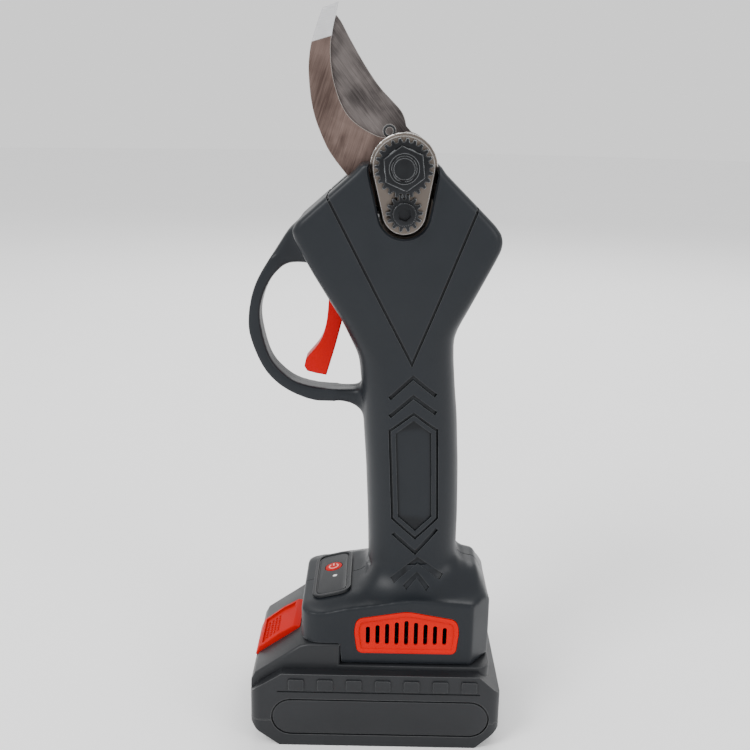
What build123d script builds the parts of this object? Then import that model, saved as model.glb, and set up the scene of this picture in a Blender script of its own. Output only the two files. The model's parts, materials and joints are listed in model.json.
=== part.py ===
from build123d import *
import math
import os

# Battery electric pruner: a handle with a bypass cutting head, standing on its slide-on battery pack.
#
# Frame, in millimetres: the origin is the middle of the battery's flat bottom, +Z is up, +X points to the back
# of the handle (the trigger is on -X) and -Y is the tool's left side, where the blade nut is.

# ---------------------------------------------------------------- driving dimensions
WALL = 2.4                     # moulded shell thickness
GAP = 0.3                      # clearance between pieces that move past each other
SHAFT_PLAY = 0.03              # radial clearance of a shaft in its hole

PIVOT_X, PIVOT_Z = 7.4, 263.1  # blade pivot
BOLT_R = 5.0                   # M10 pivot bolt
NUT_FLATS = 16.0               # across flats of the M10 nut and bolt head
BLADE_THICK = 3.5
HOOK_THICK = 4.1
BLADE_Y0 = -0.1                # near face of the moving blade
HOOK_FACE_Y = BLADE_Y0 - GAP   # inner face of the fixed hook blade

SECTOR_TEETH, PINION_TEETH, SECTOR_MODULE = 32, 10, 1.5
WHEEL_TEETH, BEVEL_TEETH, BEVEL_MODULE = 28, 12, 1.25
BEVEL_FACE = 6.0
SUN_TEETH, PLANET_TEETH, RING_TEETH, PLANET_MODULE = 12, 18, 48, 0.6
PLANETS = 3
LOCK_MODULE, NUT_TEETH, LOCK_TEETH = 1.0, 23, 14

MESH_ANGLE = 7.5               # direction from the pivot to the pinion shaft, off straight down
DRIVE_TILT = 2.0               # lean of the motor axis, degrees

HEAD_HALF = 24.0               # half widths across the tool, along Y
GRIP_HALF = 20.0
FOOT_HALF = 32.0
GUARD_HALF = 6.5
BATTERY_HALF = 38.0
BATTERY_LENGTH = 115.0
BATTERY_SHOULDER_Z = 36.8      # top rim of the battery's broad part
TERMINALS = (-12.0, -4.0, 4.0, 12.0)   # the contacts, across the pack
FOOT_Z = 39.2                  # underside of the foot
DECK_Z = FOOT_Z - GAP          # top of the battery under the foot

PANEL_TILT = 14.0              # slope of the control panel, falling to the front
PANEL_X, PANEL_Z = -21.0, 68.0
PANEL_SIZE = (18.4, 44.0)

# ---------------------------------------------------------------- derived places
PITCH_SUM = SECTOR_MODULE * (SECTOR_TEETH + PINION_TEETH) / 2
DRIVE_X = PIVOT_X + PITCH_SUM * math.sin(math.radians(MESH_ANGLE))
DRIVE_Z = PIVOT_Z - PITCH_SUM * math.cos(math.radians(MESH_ANGLE))
DRIVE = Location((DRIVE_X, 0, DRIVE_Z), (0, -DRIVE_TILT, 0))
LOCK_X = PIVOT_X + 0.6
LOCK_Z = PIVOT_Z - LOCK_MODULE * (NUT_TEETH + LOCK_TEETH) / 2

EAR_Y0, EAR_Y1 = -22.5, 21.5   # outer faces of the bracket's two ears
CHEEK_Y = HOOK_FACE_Y - HOOK_THICK
FAR_BOSS_Y = BLADE_Y0 + BLADE_THICK + GAP

PLANET_ORBIT = PLANET_MODULE * (SUN_TEETH + PLANET_TEETH) / 2

# heights on the motor axis, measured from the pinion shaft
BEARING_TOP, BEARING_END = -22.0, -27.0
CASE_TOP, CASE_END = -21.3, -30.5
CARRIER_TOP, CARRIER_END = -29.2, -32.4
PLANET_TOP, PLANET_END = -32.8, -39.8
RING_END = -41.6
RING_R = 17.4                   # the outer radius of the ring gear
MOTOR_TOP, MOTOR_END = -44.8, -90.0
MOTOR_R = 14.5


# ---------------------------------------------------------------- small helpers
def save(name, shape):
    """Writes one sub-part as a STEP file named after its node."""
    export_step(shape, f"parts/{name}.step")


def face_xz(points):
    """A face through (x, z) points."""
    return make_face(Polyline(*[(x, 0, z) for x, z in points], close=True).edges())


def slab(profile, y0, y1):
    """An (x, z) profile, made of points or a face, as a plate from y0 to y1."""
    face = face_xz(profile) if isinstance(profile, (list, tuple)) else profile
    return extrude(Pos(0, y0, 0) * face, amount=y1 - y0, dir=(0, 1, 0))


def plate_xy(points, z0, z1):
    """A plate from z0 to z1 through (x, y) points."""
    return Pos(0, 0, z0) * extrude(make_face(Polyline(*points, close=True).edges()), amount=z1 - z0)


def wall_yz(points, x0, x1):
    """A solid from x0 to x1 through (y, z) points."""
    face = make_face(Polyline(*[(x0, y, z) for y, z in points], close=True).edges())
    return extrude(face, amount=x1 - x0, dir=(1, 0, 0))


def block(x0, x1, y0, y1, z0, z1):
    """A box given by its two corners."""
    return Pos((x0 + x1) / 2, (y0 + y1) / 2, (z0 + z1) / 2) * Box(x1 - x0, y1 - y0, z1 - z0)


def disc_y(x, z, radius, y0, y1):
    """A cylinder along Y."""
    return Pos(x, (y0 + y1) / 2, z) * Rot(90, 0, 0) * Cylinder(radius, abs(y1 - y0))


def disc_z(radius, z0, z1, x=0.0, y=0.0):
    """A cylinder along Z."""
    return Pos(x, y, (z0 + z1) / 2) * Cylinder(radius, abs(z1 - z0))


def hex_y(x, z, flats, y0, y1, turn=0.0):
    """A hexagonal bar along Y."""
    face = Rot(90, 0, 0) * Rot(0, 0, turn) * RegularPolygon(flats / 2, 6, major_radius=False)
    return extrude(Pos(x, min(y0, y1), z) * face, amount=abs(y1 - y0), dir=(0, 1, 0))


def grown(points, by):
    """The face through (x, z) points, grown or (if negative) shrunk on every side."""
    return offset(face_xz(points), amount=by, kind=Kind.INTERSECTION) if by else face_xz(points)


def teardrop(radius_top, radius_low, y0, y1):
    """A plate with a round end at the blade pivot and a smaller one at the lock gear."""
    dx = LOCK_X - PIVOT_X
    dz = LOCK_Z - PIVOT_Z
    lean = math.atan2(dz, dx)
    spread = math.acos((radius_top - radius_low) / math.hypot(dx, dz))
    corners = []
    for side in (1, -1):
        a = lean + side * spread
        pair = [(PIVOT_X + radius_top * math.cos(a), PIVOT_Z + radius_top * math.sin(a))]
        pair.append((LOCK_X + radius_low * math.cos(a), LOCK_Z + radius_low * math.sin(a)))
        corners += pair if side == 1 else pair[::-1]
    ends = disc_y(PIVOT_X, PIVOT_Z, radius_top, y0, y1) + disc_y(LOCK_X, LOCK_Z, radius_low, y0, y1)
    return ends + slab(corners, y0, y1)


# ---------------------------------------------------------------- gears
def gear_face(teeth, module, tip=0.85, root=1.15, thin=0.12, turn=0.0, pressure=25.0):
    """An involute gear outline; thin is what the tooth loses in width, turn places a tooth's middle."""
    pitch_r = teeth * module / 2
    alpha = math.radians(pressure)
    base_r = pitch_r * math.cos(alpha)
    tip_r = pitch_r + tip * module
    root_r = pitch_r - root * module
    involute = math.tan(alpha) - alpha
    half_pitch = math.pi / (2 * teeth) - thin / (2 * pitch_r)

    def half_angle(radius):
        roll = math.acos(min(1.0, base_r / radius))
        return half_pitch + involute - (math.tan(roll) - roll)

    start = max(base_r, root_r)
    radii = [root_r] + [start + (tip_r - start) * k / 4 for k in range(5)]
    points = []
    for n in range(teeth):
        middle = math.radians(turn) + 2 * math.pi * n / teeth
        flank = [(r, half_angle(max(r, start))) for r in radii]
        if root_r >= base_r:
            flank = flank[1:]
        points += [(r * math.cos(middle - a), r * math.sin(middle - a)) for r, a in flank]
        points += [(r * math.cos(middle + a), r * math.sin(middle + a)) for r, a in reversed(flank)]
    return make_face(Polyline(*points, close=True).edges())


def gear_y(face, x, z, y0, y1):
    """A gear outline as a plate along Y; its +X stays +X and its +Y becomes +Z."""
    return extrude(Pos(x, y0, z) * Rot(90, 0, 0) * face, amount=y1 - y0, dir=(0, 1, 0))


def bevel_gear(teeth, mate_teeth, back, bore, turn=0.0, thin=0.42):
    """A straight bevel gear below its apex at the origin, with its axis along Z."""
    pitch_r = BEVEL_MODULE * teeth / 2
    depth = BEVEL_MODULE * mate_teeth / 2
    cone = math.hypot(pitch_r, depth)
    small = 1 - BEVEL_FACE / cone
    out, down = pitch_r / cone, depth / cone
    tip, root = 0.75 * BEVEL_MODULE, 1.15 * BEVEL_MODULE
    slope = math.tan(math.radians(20))
    half = math.pi * BEVEL_MODULE / 4 - thin / 2

    def section(k):
        corners = []
        for height, side in ((-root - 0.4, -1), (-root - 0.4, 1), (tip, 1), (tip, -1)):
            width = (half - height * slope) * side
            corners.append((k * (pitch_r + down * height), k * width, k * (-depth + out * height)))
        return make_face(Polyline(*corners, close=True).edges())

    tooth = loft([section(1), section(small)], ruled=True)
    rim = [(k * (pitch_r - down * root), k * (-depth - out * root)) for k in (small, 1)]
    profile = [(bore, rim[0][1]), rim[0], rim[1], (rim[1][0], back), (bore, back)]
    ring = make_face(Polyline(*[(r, 0, z) for r, z in profile], close=True).edges())
    body = revolve(ring, axis=Axis.Z)
    for n in range(teeth):
        body += Rot(0, 0, turn + 360 * n / teeth) * tooth
    return body


# ---------------------------------------------------------------- housing outlines, as (x, z) points
HEAD = [(-9.3, 264.5), (-40.5, 236.8), (-31.0, 219.0), (-17.6, 196.5), (-10.2, 180.0), (-8.9, 166.0),
        (33.3, 166.0), (31.6, 189.5), (33.0, 194.0), (50.6, 231.0), (50.0, 236.5), (22.0, 263.8)]
FOOT = [(-34.8, 49.7), (-34.4, 62.5), (-32.6, 65.4), (-6.2, 71.6), (-4.6, 78.0), (-4.4, 90.0), (36.8, 90.0),
        (37.6, 83.6), (46.2, 79.6), (50.4, 72.0), (52.6, 65.0), (52.0, 58.0), (51.6, FOOT_Z), (-15.6, FOOT_Z),
        (-15.6, 49.7)]
FOOT_PLAN = [(-34.8, -24), (-29.5, -FOOT_HALF), (43.5, -FOOT_HALF), (52.6, -20), (52.6, 20),
             (43.5, FOOT_HALF), (-29.5, FOOT_HALF), (-34.8, 24)]
GUARD_OUTER = [(-36.5, 235.5), (-40.6, 236.4), (-46.6, 227.7), (-56.7, 210.4), (-60.3, 194.0), (-58.0, 182.4),
               (-52.0, 170.4), (-43.4, 162.6), (-31.5, 157.4), (-20.5, 157.2), (-12.5, 156.2), (-7.0, 150.0)]
GUARD_INNER = [(-30.0, 217.6), (-36.6, 220.2), (-43.4, 219.2), (-49.6, 213.0), (-53.6, 204.0), (-54.4, 194.0),
               (-50.8, 178.6), (-44.6, 170.4), (-36.5, 165.4), (-24.0, 163.4), (-8.6, 162.8)]
GRILLE = [(-10.6, 53.6), (-8.9, 62.0), (14.0, 65.9), (35.8, 61.8), (38.0, 54.0), (36.0, 43.6), (-8.8, 43.6)]
TRIGGER_SLOT = [(-36.0, 217.5), (-31.0, 215.0), (-17.8, 192.6), (-13.0, 182.0), (-3.0, 182.0), (-3.0, 219.0)]
BLADE_SLOT = [(-21.0, 247.0), (-33.0, 262.0), (-10.0, 290.0), (34.0, 290.0), (26.0, 256.0), (18.0, 247.0)]

# screws that join the two shells, (x, z), all driven from the right side
SHELL_SCREWS = [(-29.5, 233.0), (40.5, 235.5), (37.0, 214.0), (-0.5, 124.0), (31.0, 124.0),
                (-24.0, 57.5), (45.5, 68.0)]


def grip_form(shrink):
    """The hand grip, lofted through rounded sections that lean back as they rise."""
    sections = []
    for z, middle, half_x in ((84, 16.2, 20.7), (104, 15.9, 21.0), (128, 15.0, 21.3), (152, 13.4, 21.5),
                              (182, 11.2, 21.0)):
        ring = RectangleRounded(2 * (half_x - shrink), 2 * (GRIP_HALF - shrink), 15.5 - shrink)
        sections.append(Pos(middle, 0, z) * ring)
    return loft(sections)


def head_form(shrink):
    """The broad head, whose sides draw in towards the grip."""
    half = HEAD_HALF - shrink
    low = GRIP_HALF + 0.6 - shrink
    front = slab(grown(HEAD, -shrink), -half, half)
    sides = [(-half, 300), (-half, 207), (-low, 176), (-low, 150)]
    sides += [(-y, z) for y, z in reversed(sides)]
    return front & wall_yz(sides, -80, 80)


def foot_form(shrink):
    """The foot that spreads from the grip and clips onto the battery."""
    half = FOOT_HALF - shrink
    profile = slab(grown(FOOT, -shrink), -half, half)
    rise = [(half, 20), (half, 65), (half - 2.2, 69), (half - 6.5, 73.5), (half - 9.8, 79), (half - 11.6, 86),
            (half - 12, 100)]
    sides = wall_yz([(-y, z) for y, z in rise] + rise[::-1], -80, 80)
    inset = [(x - math.copysign(shrink, x), y - math.copysign(shrink, y)) for x, y in FOOT_PLAN]
    return profile & sides & plate_xy(inset, 20, 120)


def guard_form():
    """The closed finger guard in front of the trigger."""
    outer = Spline(*[(x, 0, z) for x, z in GUARD_OUTER])
    inner = Spline(*[(x, 0, z) for x, z in GUARD_INNER])
    ends = [Line(outer @ 0, inner @ 0), Line(outer @ 1, inner @ 1)]
    ring = make_face((outer + inner + ends[0] + ends[1]).edges())
    return slab(ring, -GUARD_HALF, GUARD_HALF)


def rail_slabs():
    """Inward lips under the foot that the battery's T-block hangs on."""
    lips = Part()
    for side in (-1, 1):
        y0, y1 = sorted((side * 18.4, side * 29.0))
        lips += block(-13.2, 48.5, y0, y1, FOOT_Z, 43.8)
    return lips


def grille_recess(side):
    """The pocket of a vent grille in the foot's side, with its air opening."""
    y_out = side * FOOT_HALF
    pocket = slab(grown(GRILLE, 0.15), *sorted((y_out + side, y_out - side * 1.3)))
    opening = slab(grown(GRILLE, -2.2), *sorted((y_out + side, y_out - side * 5.0)))
    return pocket + opening


def panel_place(lift=0.0):
    """The control panel's plane on the foot's sloping front."""
    return Location((PANEL_X, 0, PANEL_Z), (0, -PANEL_TILT, 0)) * Pos(0, 0, lift)


def housing():
    """Both shells as one hollow body, before they are split down the middle."""
    outer = head_form(0) + grip_form(0) + foot_form(0) + guard_form()
    bosses = Part()
    holes = Part()
    for x, z in SHELL_SCREWS:
        bosses += disc_y(x, z, 3.9, -31, 31)
        holes += disc_y(x, z, 1.42, -9.5, 9)
        holes += disc_y(x, z, 2.9, 7.0, 40)
    core = head_form(WALL) + grip_form(WALL) + foot_form(WALL)
    ribs = Part()
    for z in (150.0, 178.0):
        ribs += block(-20, 50, -30, 30, z, z + 2)
    ribs -= DRIVE * disc_z(MOTOR_R + 0.05, MOTOR_TOP, MOTOR_END - 5)
    solid = outer - (core - bosses - ribs - rail_slabs())
    solid += rail_slabs()
    shaft_space = DRIVE * disc_z(RING_R + 0.4, CASE_END + 0.5, RING_END - 0.4)
    shaft_space += DRIVE * disc_z(RING_R - 0.4, RING_END - 0.3, MOTOR_TOP)
    solid -= shaft_space
    solid -= teardrop(14.7, 10.9, -40, 40)
    solid -= slab(BLADE_SLOT, -5.4, 4.4)
    solid -= slab(TRIGGER_SLOT, -6.5, 6.5)
    solid -= block(-20, 38.6, -18.4, 18.4, FOOT_Z - 1, 44.0)
    solid -= block(-20, 49.0, -22.6, 22.6, 43.8, 48.2)
    solid -= block(-40, -28.4, -5.5, 5.5, 49.0, 52.8)
    for side in (-1, 1):
        solid -= grille_recess(side)
    window = RectangleRounded(PANEL_SIZE[0] - 3, PANEL_SIZE[1] - 3, 4)
    solid -= panel_place(-4.2) * extrude(window, amount=8)
    return solid - holes


def half_of(solid, side):
    """One shell: the half of the housing on the given side of the middle plane."""
    y0, y1 = sorted((0, side * 60))
    half = solid & block(-90, 90, y0, y1, 0, 330)
    return max(half.solids(), key=lambda s: s.volume)


def screw_y(x, z, radius, head_radius, head, tip):
    """A screw along Y from its head's outer face to its tip; head is (outer y, inner y)."""
    step = 1 if head[0] < tip else -1
    body = disc_y(x, z, head_radius, *sorted(head))
    body += disc_y(x, z, radius, *sorted((head[1] - 0.01 * step, tip)))
    depth = sorted((head[0], head[0] + step * 1.2))
    return body - hex_y(x, z, head_radius, depth[0], depth[1])


def housing_screws():
    """The screws that pull the right shell onto the left one."""
    return [screw_y(x, z, 1.4, 2.7, (9.0, 7.0), -9.0) for x, z in SHELL_SCREWS]


# ---------------------------------------------------------------- cutting head
HOOK = [(-21.0, 329.1), (-27.6, 326.5), (-28.6, 324.0), (-32.0, 313.3), (-33.2, 305.1), (-33.1, 297.9),
        (-32.0, 288.6), (-29.8, 280.3), (-25.4, 270.2), (-21.5, 264.4), (-15.0, 256.5), (-8.0, 248.0),
        (1.0, 243.0), (13.0, 243.0), (19.0, 250.0), (20.6, 262.0), (19.4, 269.0), (14.7, 275.7), (11.3, 278.3),
        (8.4, 279.4), (3.6, 277.6), (-1.4, 276.3), (-6.3, 276.7), (-11.8, 279.3), (-16.2, 283.1), (-19.5, 288.3),
        (-22.3, 296.1), (-23.7, 303.3), (-24.1, 309.4), (-23.8, 314.5), (-23.0, 319.6), (-22.0, 324.1)]
HOOK_SCREWS = [(-9.5, 257.5), (15.8, 250.5)]
BLADE_BACK = [(-22.2, 324.2), (-20.1, 321.8), (-17.9, 318.0), (-13.5, 310.4), (-7.9, 301.7), (-2.3, 294.4),
              (4.4, 287.7), (6.6, 285.1), (7.8, 282.5), (8.5, 279.5)]
BLADE_EDGE = [(-7.0, 262.0), (-10.5, 268.5), (-16.5, 276.5), (-23.0, 284.5), (-27.4, 294.0), (-29.0, 304.0),
              (-28.4, 313.0), (-25.6, 320.5), (-22.2, 324.2)]


def case_wall(y0, y1, pivot_r):
    """One wall of the bracket, from the blade pivot down to the gear case."""
    top = disc_y(PIVOT_X, PIVOT_Z, pivot_r, y0, y1)
    middle = DRIVE * disc_y(0, 0, 15.0, y0, y1)
    outline = [(-10.5, 33), (-14.6, 0), (-13.0, CASE_END), (13.0, CASE_END), (14.6, 0), (4.0, 33)]
    stem = DRIVE * slab(outline, y0, y1)
    return top + middle + stem


def head_bracket():
    """The cast bracket: two ears that hold the blades, and the case of the bevel gears below."""
    near = teardrop(14.1, 10.3, EAR_Y0, EAR_Y0 + 5.5)
    far = teardrop(14.1, 10.3, EAR_Y1 - 4.0, EAR_Y1)
    near = chamfer(near.faces().sort_by(Axis.Y)[0].edges(), 1.3)
    far = chamfer(far.faces().sort_by(Axis.Y)[-1].edges(), 1.3)
    near += case_wall(EAR_Y0 + 5.0, CHEEK_Y, 12.0)
    far += case_wall(14.6, EAR_Y1 - 3.0, 12.0)
    far += disc_y(PIVOT_X, PIVOT_Z, 10.4, FAR_BOSS_Y, 15.0)
    case = DRIVE * disc_z(17.4, CASE_END, CASE_TOP)
    body = near + far + case
    body -= DRIVE * disc_z(9.6, CASE_TOP - 0.2, -8.0)
    body -= DRIVE * disc_z(9.5 + SHAFT_PLAY, BEARING_END, CASE_TOP + 1)
    body -= DRIVE * disc_z(5.5, CASE_END - 1, BEARING_END + 0.5)
    body -= DRIVE * disc_z(13.6, CASE_END - 1, CARRIER_TOP + 0.5)
    body -= disc_y(PIVOT_X, PIVOT_Z, BOLT_R + SHAFT_PLAY, -40, 40)
    body -= disc_y(LOCK_X, LOCK_Z, 3 + SHAFT_PLAY, EAR_Y0 - 1, -12)
    body -= disc_y(DRIVE_X, DRIVE_Z, 6.5 + SHAFT_PLAY, -12, CHEEK_Y + 1)
    body -= disc_y(DRIVE_X, DRIVE_Z, 6.5 + SHAFT_PLAY, 14, 18.5)
    for x, z in HOOK_SCREWS:
        body -= disc_y(x, z, 2 + SHAFT_PLAY, -12.2, CHEEK_Y + 1)
    return body


def fixed_blade():
    """The fixed hook blade, ground thin along its inner edge and at its tip."""
    rim = Polyline(*[(x, 0, z) for x, z in HOOK[:3]])
    outer = Spline(*[(x, 0, z) for x, z in HOOK[2:11]])
    tail = Polyline(*[(x, 0, z) for x, z in HOOK[10:16]])
    hub = Spline(*[(x, 0, z) for x, z in HOOK[15:20]])
    inner = Spline(*[(x, 0, z) for x, z in HOOK[19:] + HOOK[:1]])
    face = make_face((rim + outer + tail + hub + inner).edges())
    body = slab(face, CHEEK_Y, HOOK_FACE_Y)
    body -= disc_y(PIVOT_X, PIVOT_Z, BOLT_R + SHAFT_PLAY, -10, 5)
    for x, z in HOOK_SCREWS:
        body -= disc_y(x, z, 2 + SHAFT_PLAY, -10, 5)
        body -= disc_y(x, z, 3.55, HOOK_FACE_Y - 2.2, 5)
    return body


def fixed_blade_screws():
    """Two countersunk screws that fasten the hook blade to the bracket."""
    head = (HOOK_FACE_Y - 0.3, HOOK_FACE_Y - 2.2)
    return [screw_y(x, z, 2.0, 3.5, head, -12.0) for x, z in HOOK_SCREWS]


def moving_blade():
    """The convex cutting blade with the toothed sector on its tail."""
    y0, y1 = BLADE_Y0, BLADE_Y0 + BLADE_THICK
    back = Spline(*[(x, 0, z) for x, z in BLADE_BACK])
    edge = Spline(*[(x, 0, z) for x, z in BLADE_EDGE])
    root = Polyline((8.5, 0, 279.5), (15.5, 0, 272.0), (16.0, 0, 262.0), (-7.0, 0, 262.0))
    body = slab(make_face((back + root + edge).edges()), y0, y1)
    body += disc_y(PIVOT_X, PIVOT_Z, 12.0, y0, y1)
    turn = -90 + MESH_ANGLE + 180 / SECTOR_TEETH
    wheel = gear_y(gear_face(SECTOR_TEETH, SECTOR_MODULE, turn=turn), PIVOT_X, PIVOT_Z, y0, y1)
    reach = PITCH_SUM / math.cos(math.radians(17))
    wedge = [(PIVOT_X, PIVOT_Z)]
    for angle in (-5.6, 28.0, 61.5):
        a = math.radians(angle)
        wedge.append((PIVOT_X + reach * math.sin(a), PIVOT_Z - reach * math.cos(a)))
    body += wheel & slab(wedge, y0, y1)
    body -= disc_y(PIVOT_X, PIVOT_Z, 6.5, y0 - 1, y1 + 1)
    return body


def pivot_bush():
    """The bronze bush pressed into the moving blade."""
    ring = disc_y(PIVOT_X, PIVOT_Z, 6.48, BLADE_Y0, BLADE_Y0 + BLADE_THICK)
    return ring - disc_y(PIVOT_X, PIVOT_Z, BOLT_R + 0.05, -10, 10)


def pivot_bolt():
    """The hexagon bolt that carries both blades."""
    body = disc_y(PIVOT_X, PIVOT_Z, BOLT_R, -32.0, EAR_Y1)
    body = chamfer(body.edges().sort_by(Axis.Y)[0], 0.7)
    head = hex_y(PIVOT_X, PIVOT_Z, NUT_FLATS, EAR_Y1, EAR_Y1 + 5.6)
    head &= disc_y(PIVOT_X, PIVOT_Z, NUT_FLATS / 2 * 1.11, EAR_Y1, EAR_Y1 + 5.6)
    return body + head


def pivot_nut():
    """The blade nut, a hexagon with a toothed flange that the lock gear holds."""
    flange = gear_face(NUT_TEETH, LOCK_MODULE, turn=-90 + 1.86)
    body = gear_y(flange, PIVOT_X, PIVOT_Z, EAR_Y0 - 3.1, EAR_Y0)
    body += hex_y(PIVOT_X, PIVOT_Z, NUT_FLATS, EAR_Y0 - 8.3, EAR_Y0 - 3, turn=7)
    body &= disc_y(PIVOT_X, PIVOT_Z, 12.2, -40, 0)
    body -= disc_y(PIVOT_X, PIVOT_Z, 5.7, EAR_Y0 - 8.4, EAR_Y0 - 7.6)
    return body - disc_y(PIVOT_X, PIVOT_Z, BOLT_R + SHAFT_PLAY, -40, 0)


def lock_gear():
    """The small gear that meshes with the nut and stops it from turning."""
    turn = 90 + 1.86 + 180 / LOCK_TEETH
    body = gear_y(gear_face(LOCK_TEETH, LOCK_MODULE, turn=turn), LOCK_X, LOCK_Z, EAR_Y0 - 3.1, EAR_Y0)
    return body - disc_y(LOCK_X, LOCK_Z, 3 + SHAFT_PLAY, -40, 0)


def lock_screw():
    """The socket cap screw that clamps the lock gear."""
    body = disc_y(LOCK_X, LOCK_Z, 4.9, EAR_Y0 - 7.1, EAR_Y0 - 3.1)
    body += disc_y(LOCK_X, LOCK_Z, 3, EAR_Y0 - 3.2, -12.5)
    return body - hex_y(LOCK_X, LOCK_Z, 5.0, EAR_Y0 - 7.2, EAR_Y0 - 4.2)


# ---------------------------------------------------------------- drive train
def bevel_wheel():
    """The large bevel gear beside the blade pinion, on the same shaft."""
    gear = bevel_gear(WHEEL_TEETH, BEVEL_TEETH, back=-11.0, bore=4.0 + 0.02)
    return DRIVE * Rot(90, 0, 0) * gear


def blade_pinion():
    """The pinion shaft that swings the blade's toothed sector."""
    toward_pivot = math.degrees(math.atan2(PIVOT_Z - DRIVE_Z, PIVOT_X - DRIVE_X))
    gear = gear_face(PINION_TEETH, SECTOR_MODULE, turn=toward_pivot)
    body = gear_y(gear, DRIVE_X, DRIVE_Z, BLADE_Y0, BLADE_Y0 + BLADE_THICK)
    return body + disc_y(DRIVE_X, DRIVE_Z, 4.0, -11.5, 18.3)


def pinion_bearings():
    """The two bushes that carry the pinion shaft in the bracket."""
    rings = []
    for y0, y1 in ((-11.9, CHEEK_Y), (14.2, 18.4)):
        rings.append(disc_y(DRIVE_X, DRIVE_Z, 6.5, y0, y1) - disc_y(DRIVE_X, DRIVE_Z, 4.05, -40, 40))
    return rings


def bevel_pinion():
    """The small bevel gear on top of the planet carrier's shaft."""
    gear = bevel_gear(BEVEL_TEETH, WHEEL_TEETH, back=-21.0, bore=2.6, turn=180 / BEVEL_TEETH)
    return DRIVE * gear


def planet_carrier():
    """The planet carrier: its output shaft, its disc and the planets' pins."""
    body = disc_z(2.58, CARRIER_TOP, -13.0) + disc_z(4.0, CARRIER_TOP - 0.1, -21.0)
    body += disc_z(13.0, CARRIER_END, CARRIER_TOP)
    for n in range(PLANETS):
        body += Rot(0, 0, 360 * n / PLANETS) * disc_z(1.9, PLANET_END - 0.6, CARRIER_END + 0.1, x=PLANET_ORBIT)
    return DRIVE * body


def carrier_bearing():
    """The ball bearing that carries the planet carrier's shaft."""
    return DRIVE * (disc_z(9.5, BEARING_END, BEARING_TOP) - disc_z(4.05, -40, 0))


def planet_gear(n):
    """One planet gear, with a tooth space facing the sun and another facing the ring."""
    face = gear_face(PLANET_TEETH, PLANET_MODULE, tip=0.8, root=1.1, thin=0.08, turn=180 / PLANET_TEETH)
    gear = Pos(PLANET_ORBIT, 0, PLANET_END) * extrude(face, amount=PLANET_TOP - PLANET_END)
    gear -= disc_z(1.95, -60, 0, x=PLANET_ORBIT)
    return DRIVE * Rot(0, 0, 360 * n / PLANETS) * gear


def ring_gear():
    """The fixed ring gear around the planets."""
    face = gear_face(RING_TEETH, PLANET_MODULE, tip=1.1, root=0.7, thin=-0.08, turn=180 / RING_TEETH)
    body = disc_z(RING_R, RING_END, CASE_END)
    body -= Pos(0, 0, RING_END - 1) * extrude(face, amount=20)
    return DRIVE * body


def sun_gear():
    """The sun gear on the end of the motor shaft."""
    face = gear_face(SUN_TEETH, PLANET_MODULE, tip=0.8, root=1.1, thin=0.08)
    body = Pos(0, 0, PLANET_END - 1) * extrude(face, amount=7.6)
    return DRIVE * (body - disc_z(1.6, -60, 0))


def gearbox_plate():
    """The plate between the ring gear and the motor."""
    return DRIVE * (disc_z(RING_R - 0.8, MOTOR_TOP + 0.2, RING_END) - disc_z(4.4, -60, 0))


def motor_can():
    """The motor's steel can."""
    body = disc_z(MOTOR_R, MOTOR_END, MOTOR_TOP) - disc_z(MOTOR_R - 1.0, MOTOR_END - 1, MOTOR_TOP - 1.5)
    return DRIVE * (body - disc_z(4.0, -60, 0))


def motor_stator():
    """The laminated stator with its six wound teeth."""
    low, high = MOTOR_END + 6, MOTOR_TOP - 6
    body = disc_z(13.45, low, high) - disc_z(11.6, low - 1, high + 1)
    for n in range(6):
        body += Rot(0, 0, 60 * n) * block(8.6, 12.0, -1.6, 1.6, low, high)
        body += Rot(0, 0, 60 * n) * block(9.4, 11.5, -2.9, 2.9, low - 1.5, high + 1.5)
    return DRIVE * body


def motor_rotor():
    """The rotor with its four magnets."""
    low, high = MOTOR_END + 6, MOTOR_TOP - 6
    body = disc_z(8.1, low, high) - disc_z(1.62, low - 1, high + 1)
    for n in range(4):
        body -= Rot(0, 0, 45 + 90 * n) * block(7.7, 9.0, -0.5, 0.5, low - 1, high + 1)
    return DRIVE * body


def motor_shaft():
    """The motor shaft, which carries the rotor and the sun gear."""
    return DRIVE * disc_z(1.58, MOTOR_END - 1.0, PLANET_TOP - 0.4)


def motor_bearings():
    """The two ball bearings of the motor."""
    rings = []
    for low, high in ((MOTOR_TOP - 5.0, MOTOR_TOP - 1.5), (MOTOR_END + 0.4, MOTOR_END + 3.6)):
        rings.append(DRIVE * (disc_z(5.0, low, high) - disc_z(1.62, -120, 0)))
    return rings


def motor_end_cap():
    """The plastic cap at the motor's lower end, with the seats of the rear bearing."""
    body = disc_z(MOTOR_R - 1.05, MOTOR_END - 1.5, MOTOR_END + 3.0) - disc_z(5.02, MOTOR_END + 0.4, 0)
    return DRIVE * (body - disc_z(2.0, -120, 0))


# ---------------------------------------------------------------- trigger and controls
TRIGGER_PIN = (-13.2, 212.6)
TRIGGER_PAD = [(-24.0, 209.0), (-24.1, 204.0), (-25.2, 192.7), (-27.6, 183.5), (-34.4, 176.4), (-34.8, 172.9),
               (-33.9, 171.3), (-30.0, 170.6), (-28.0, 177.0), (-23.6, 184.5), (-20.6, 193.0), (-18.6, 203.0),
               (-19.0, 211.0)]
TRIGGER_WEB = [(-23.0, 209.0), (-24.4, 192.0), (-27.0, 183.0), (-31.0, 171.5), (-24.8, 169.6), (-20.4, 183.6),
               (-17.6, 196.0), (-11.6, 206.0), (-10.0, 212.0), (-14.0, 216.4), (-19.6, 212.4)]


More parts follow.
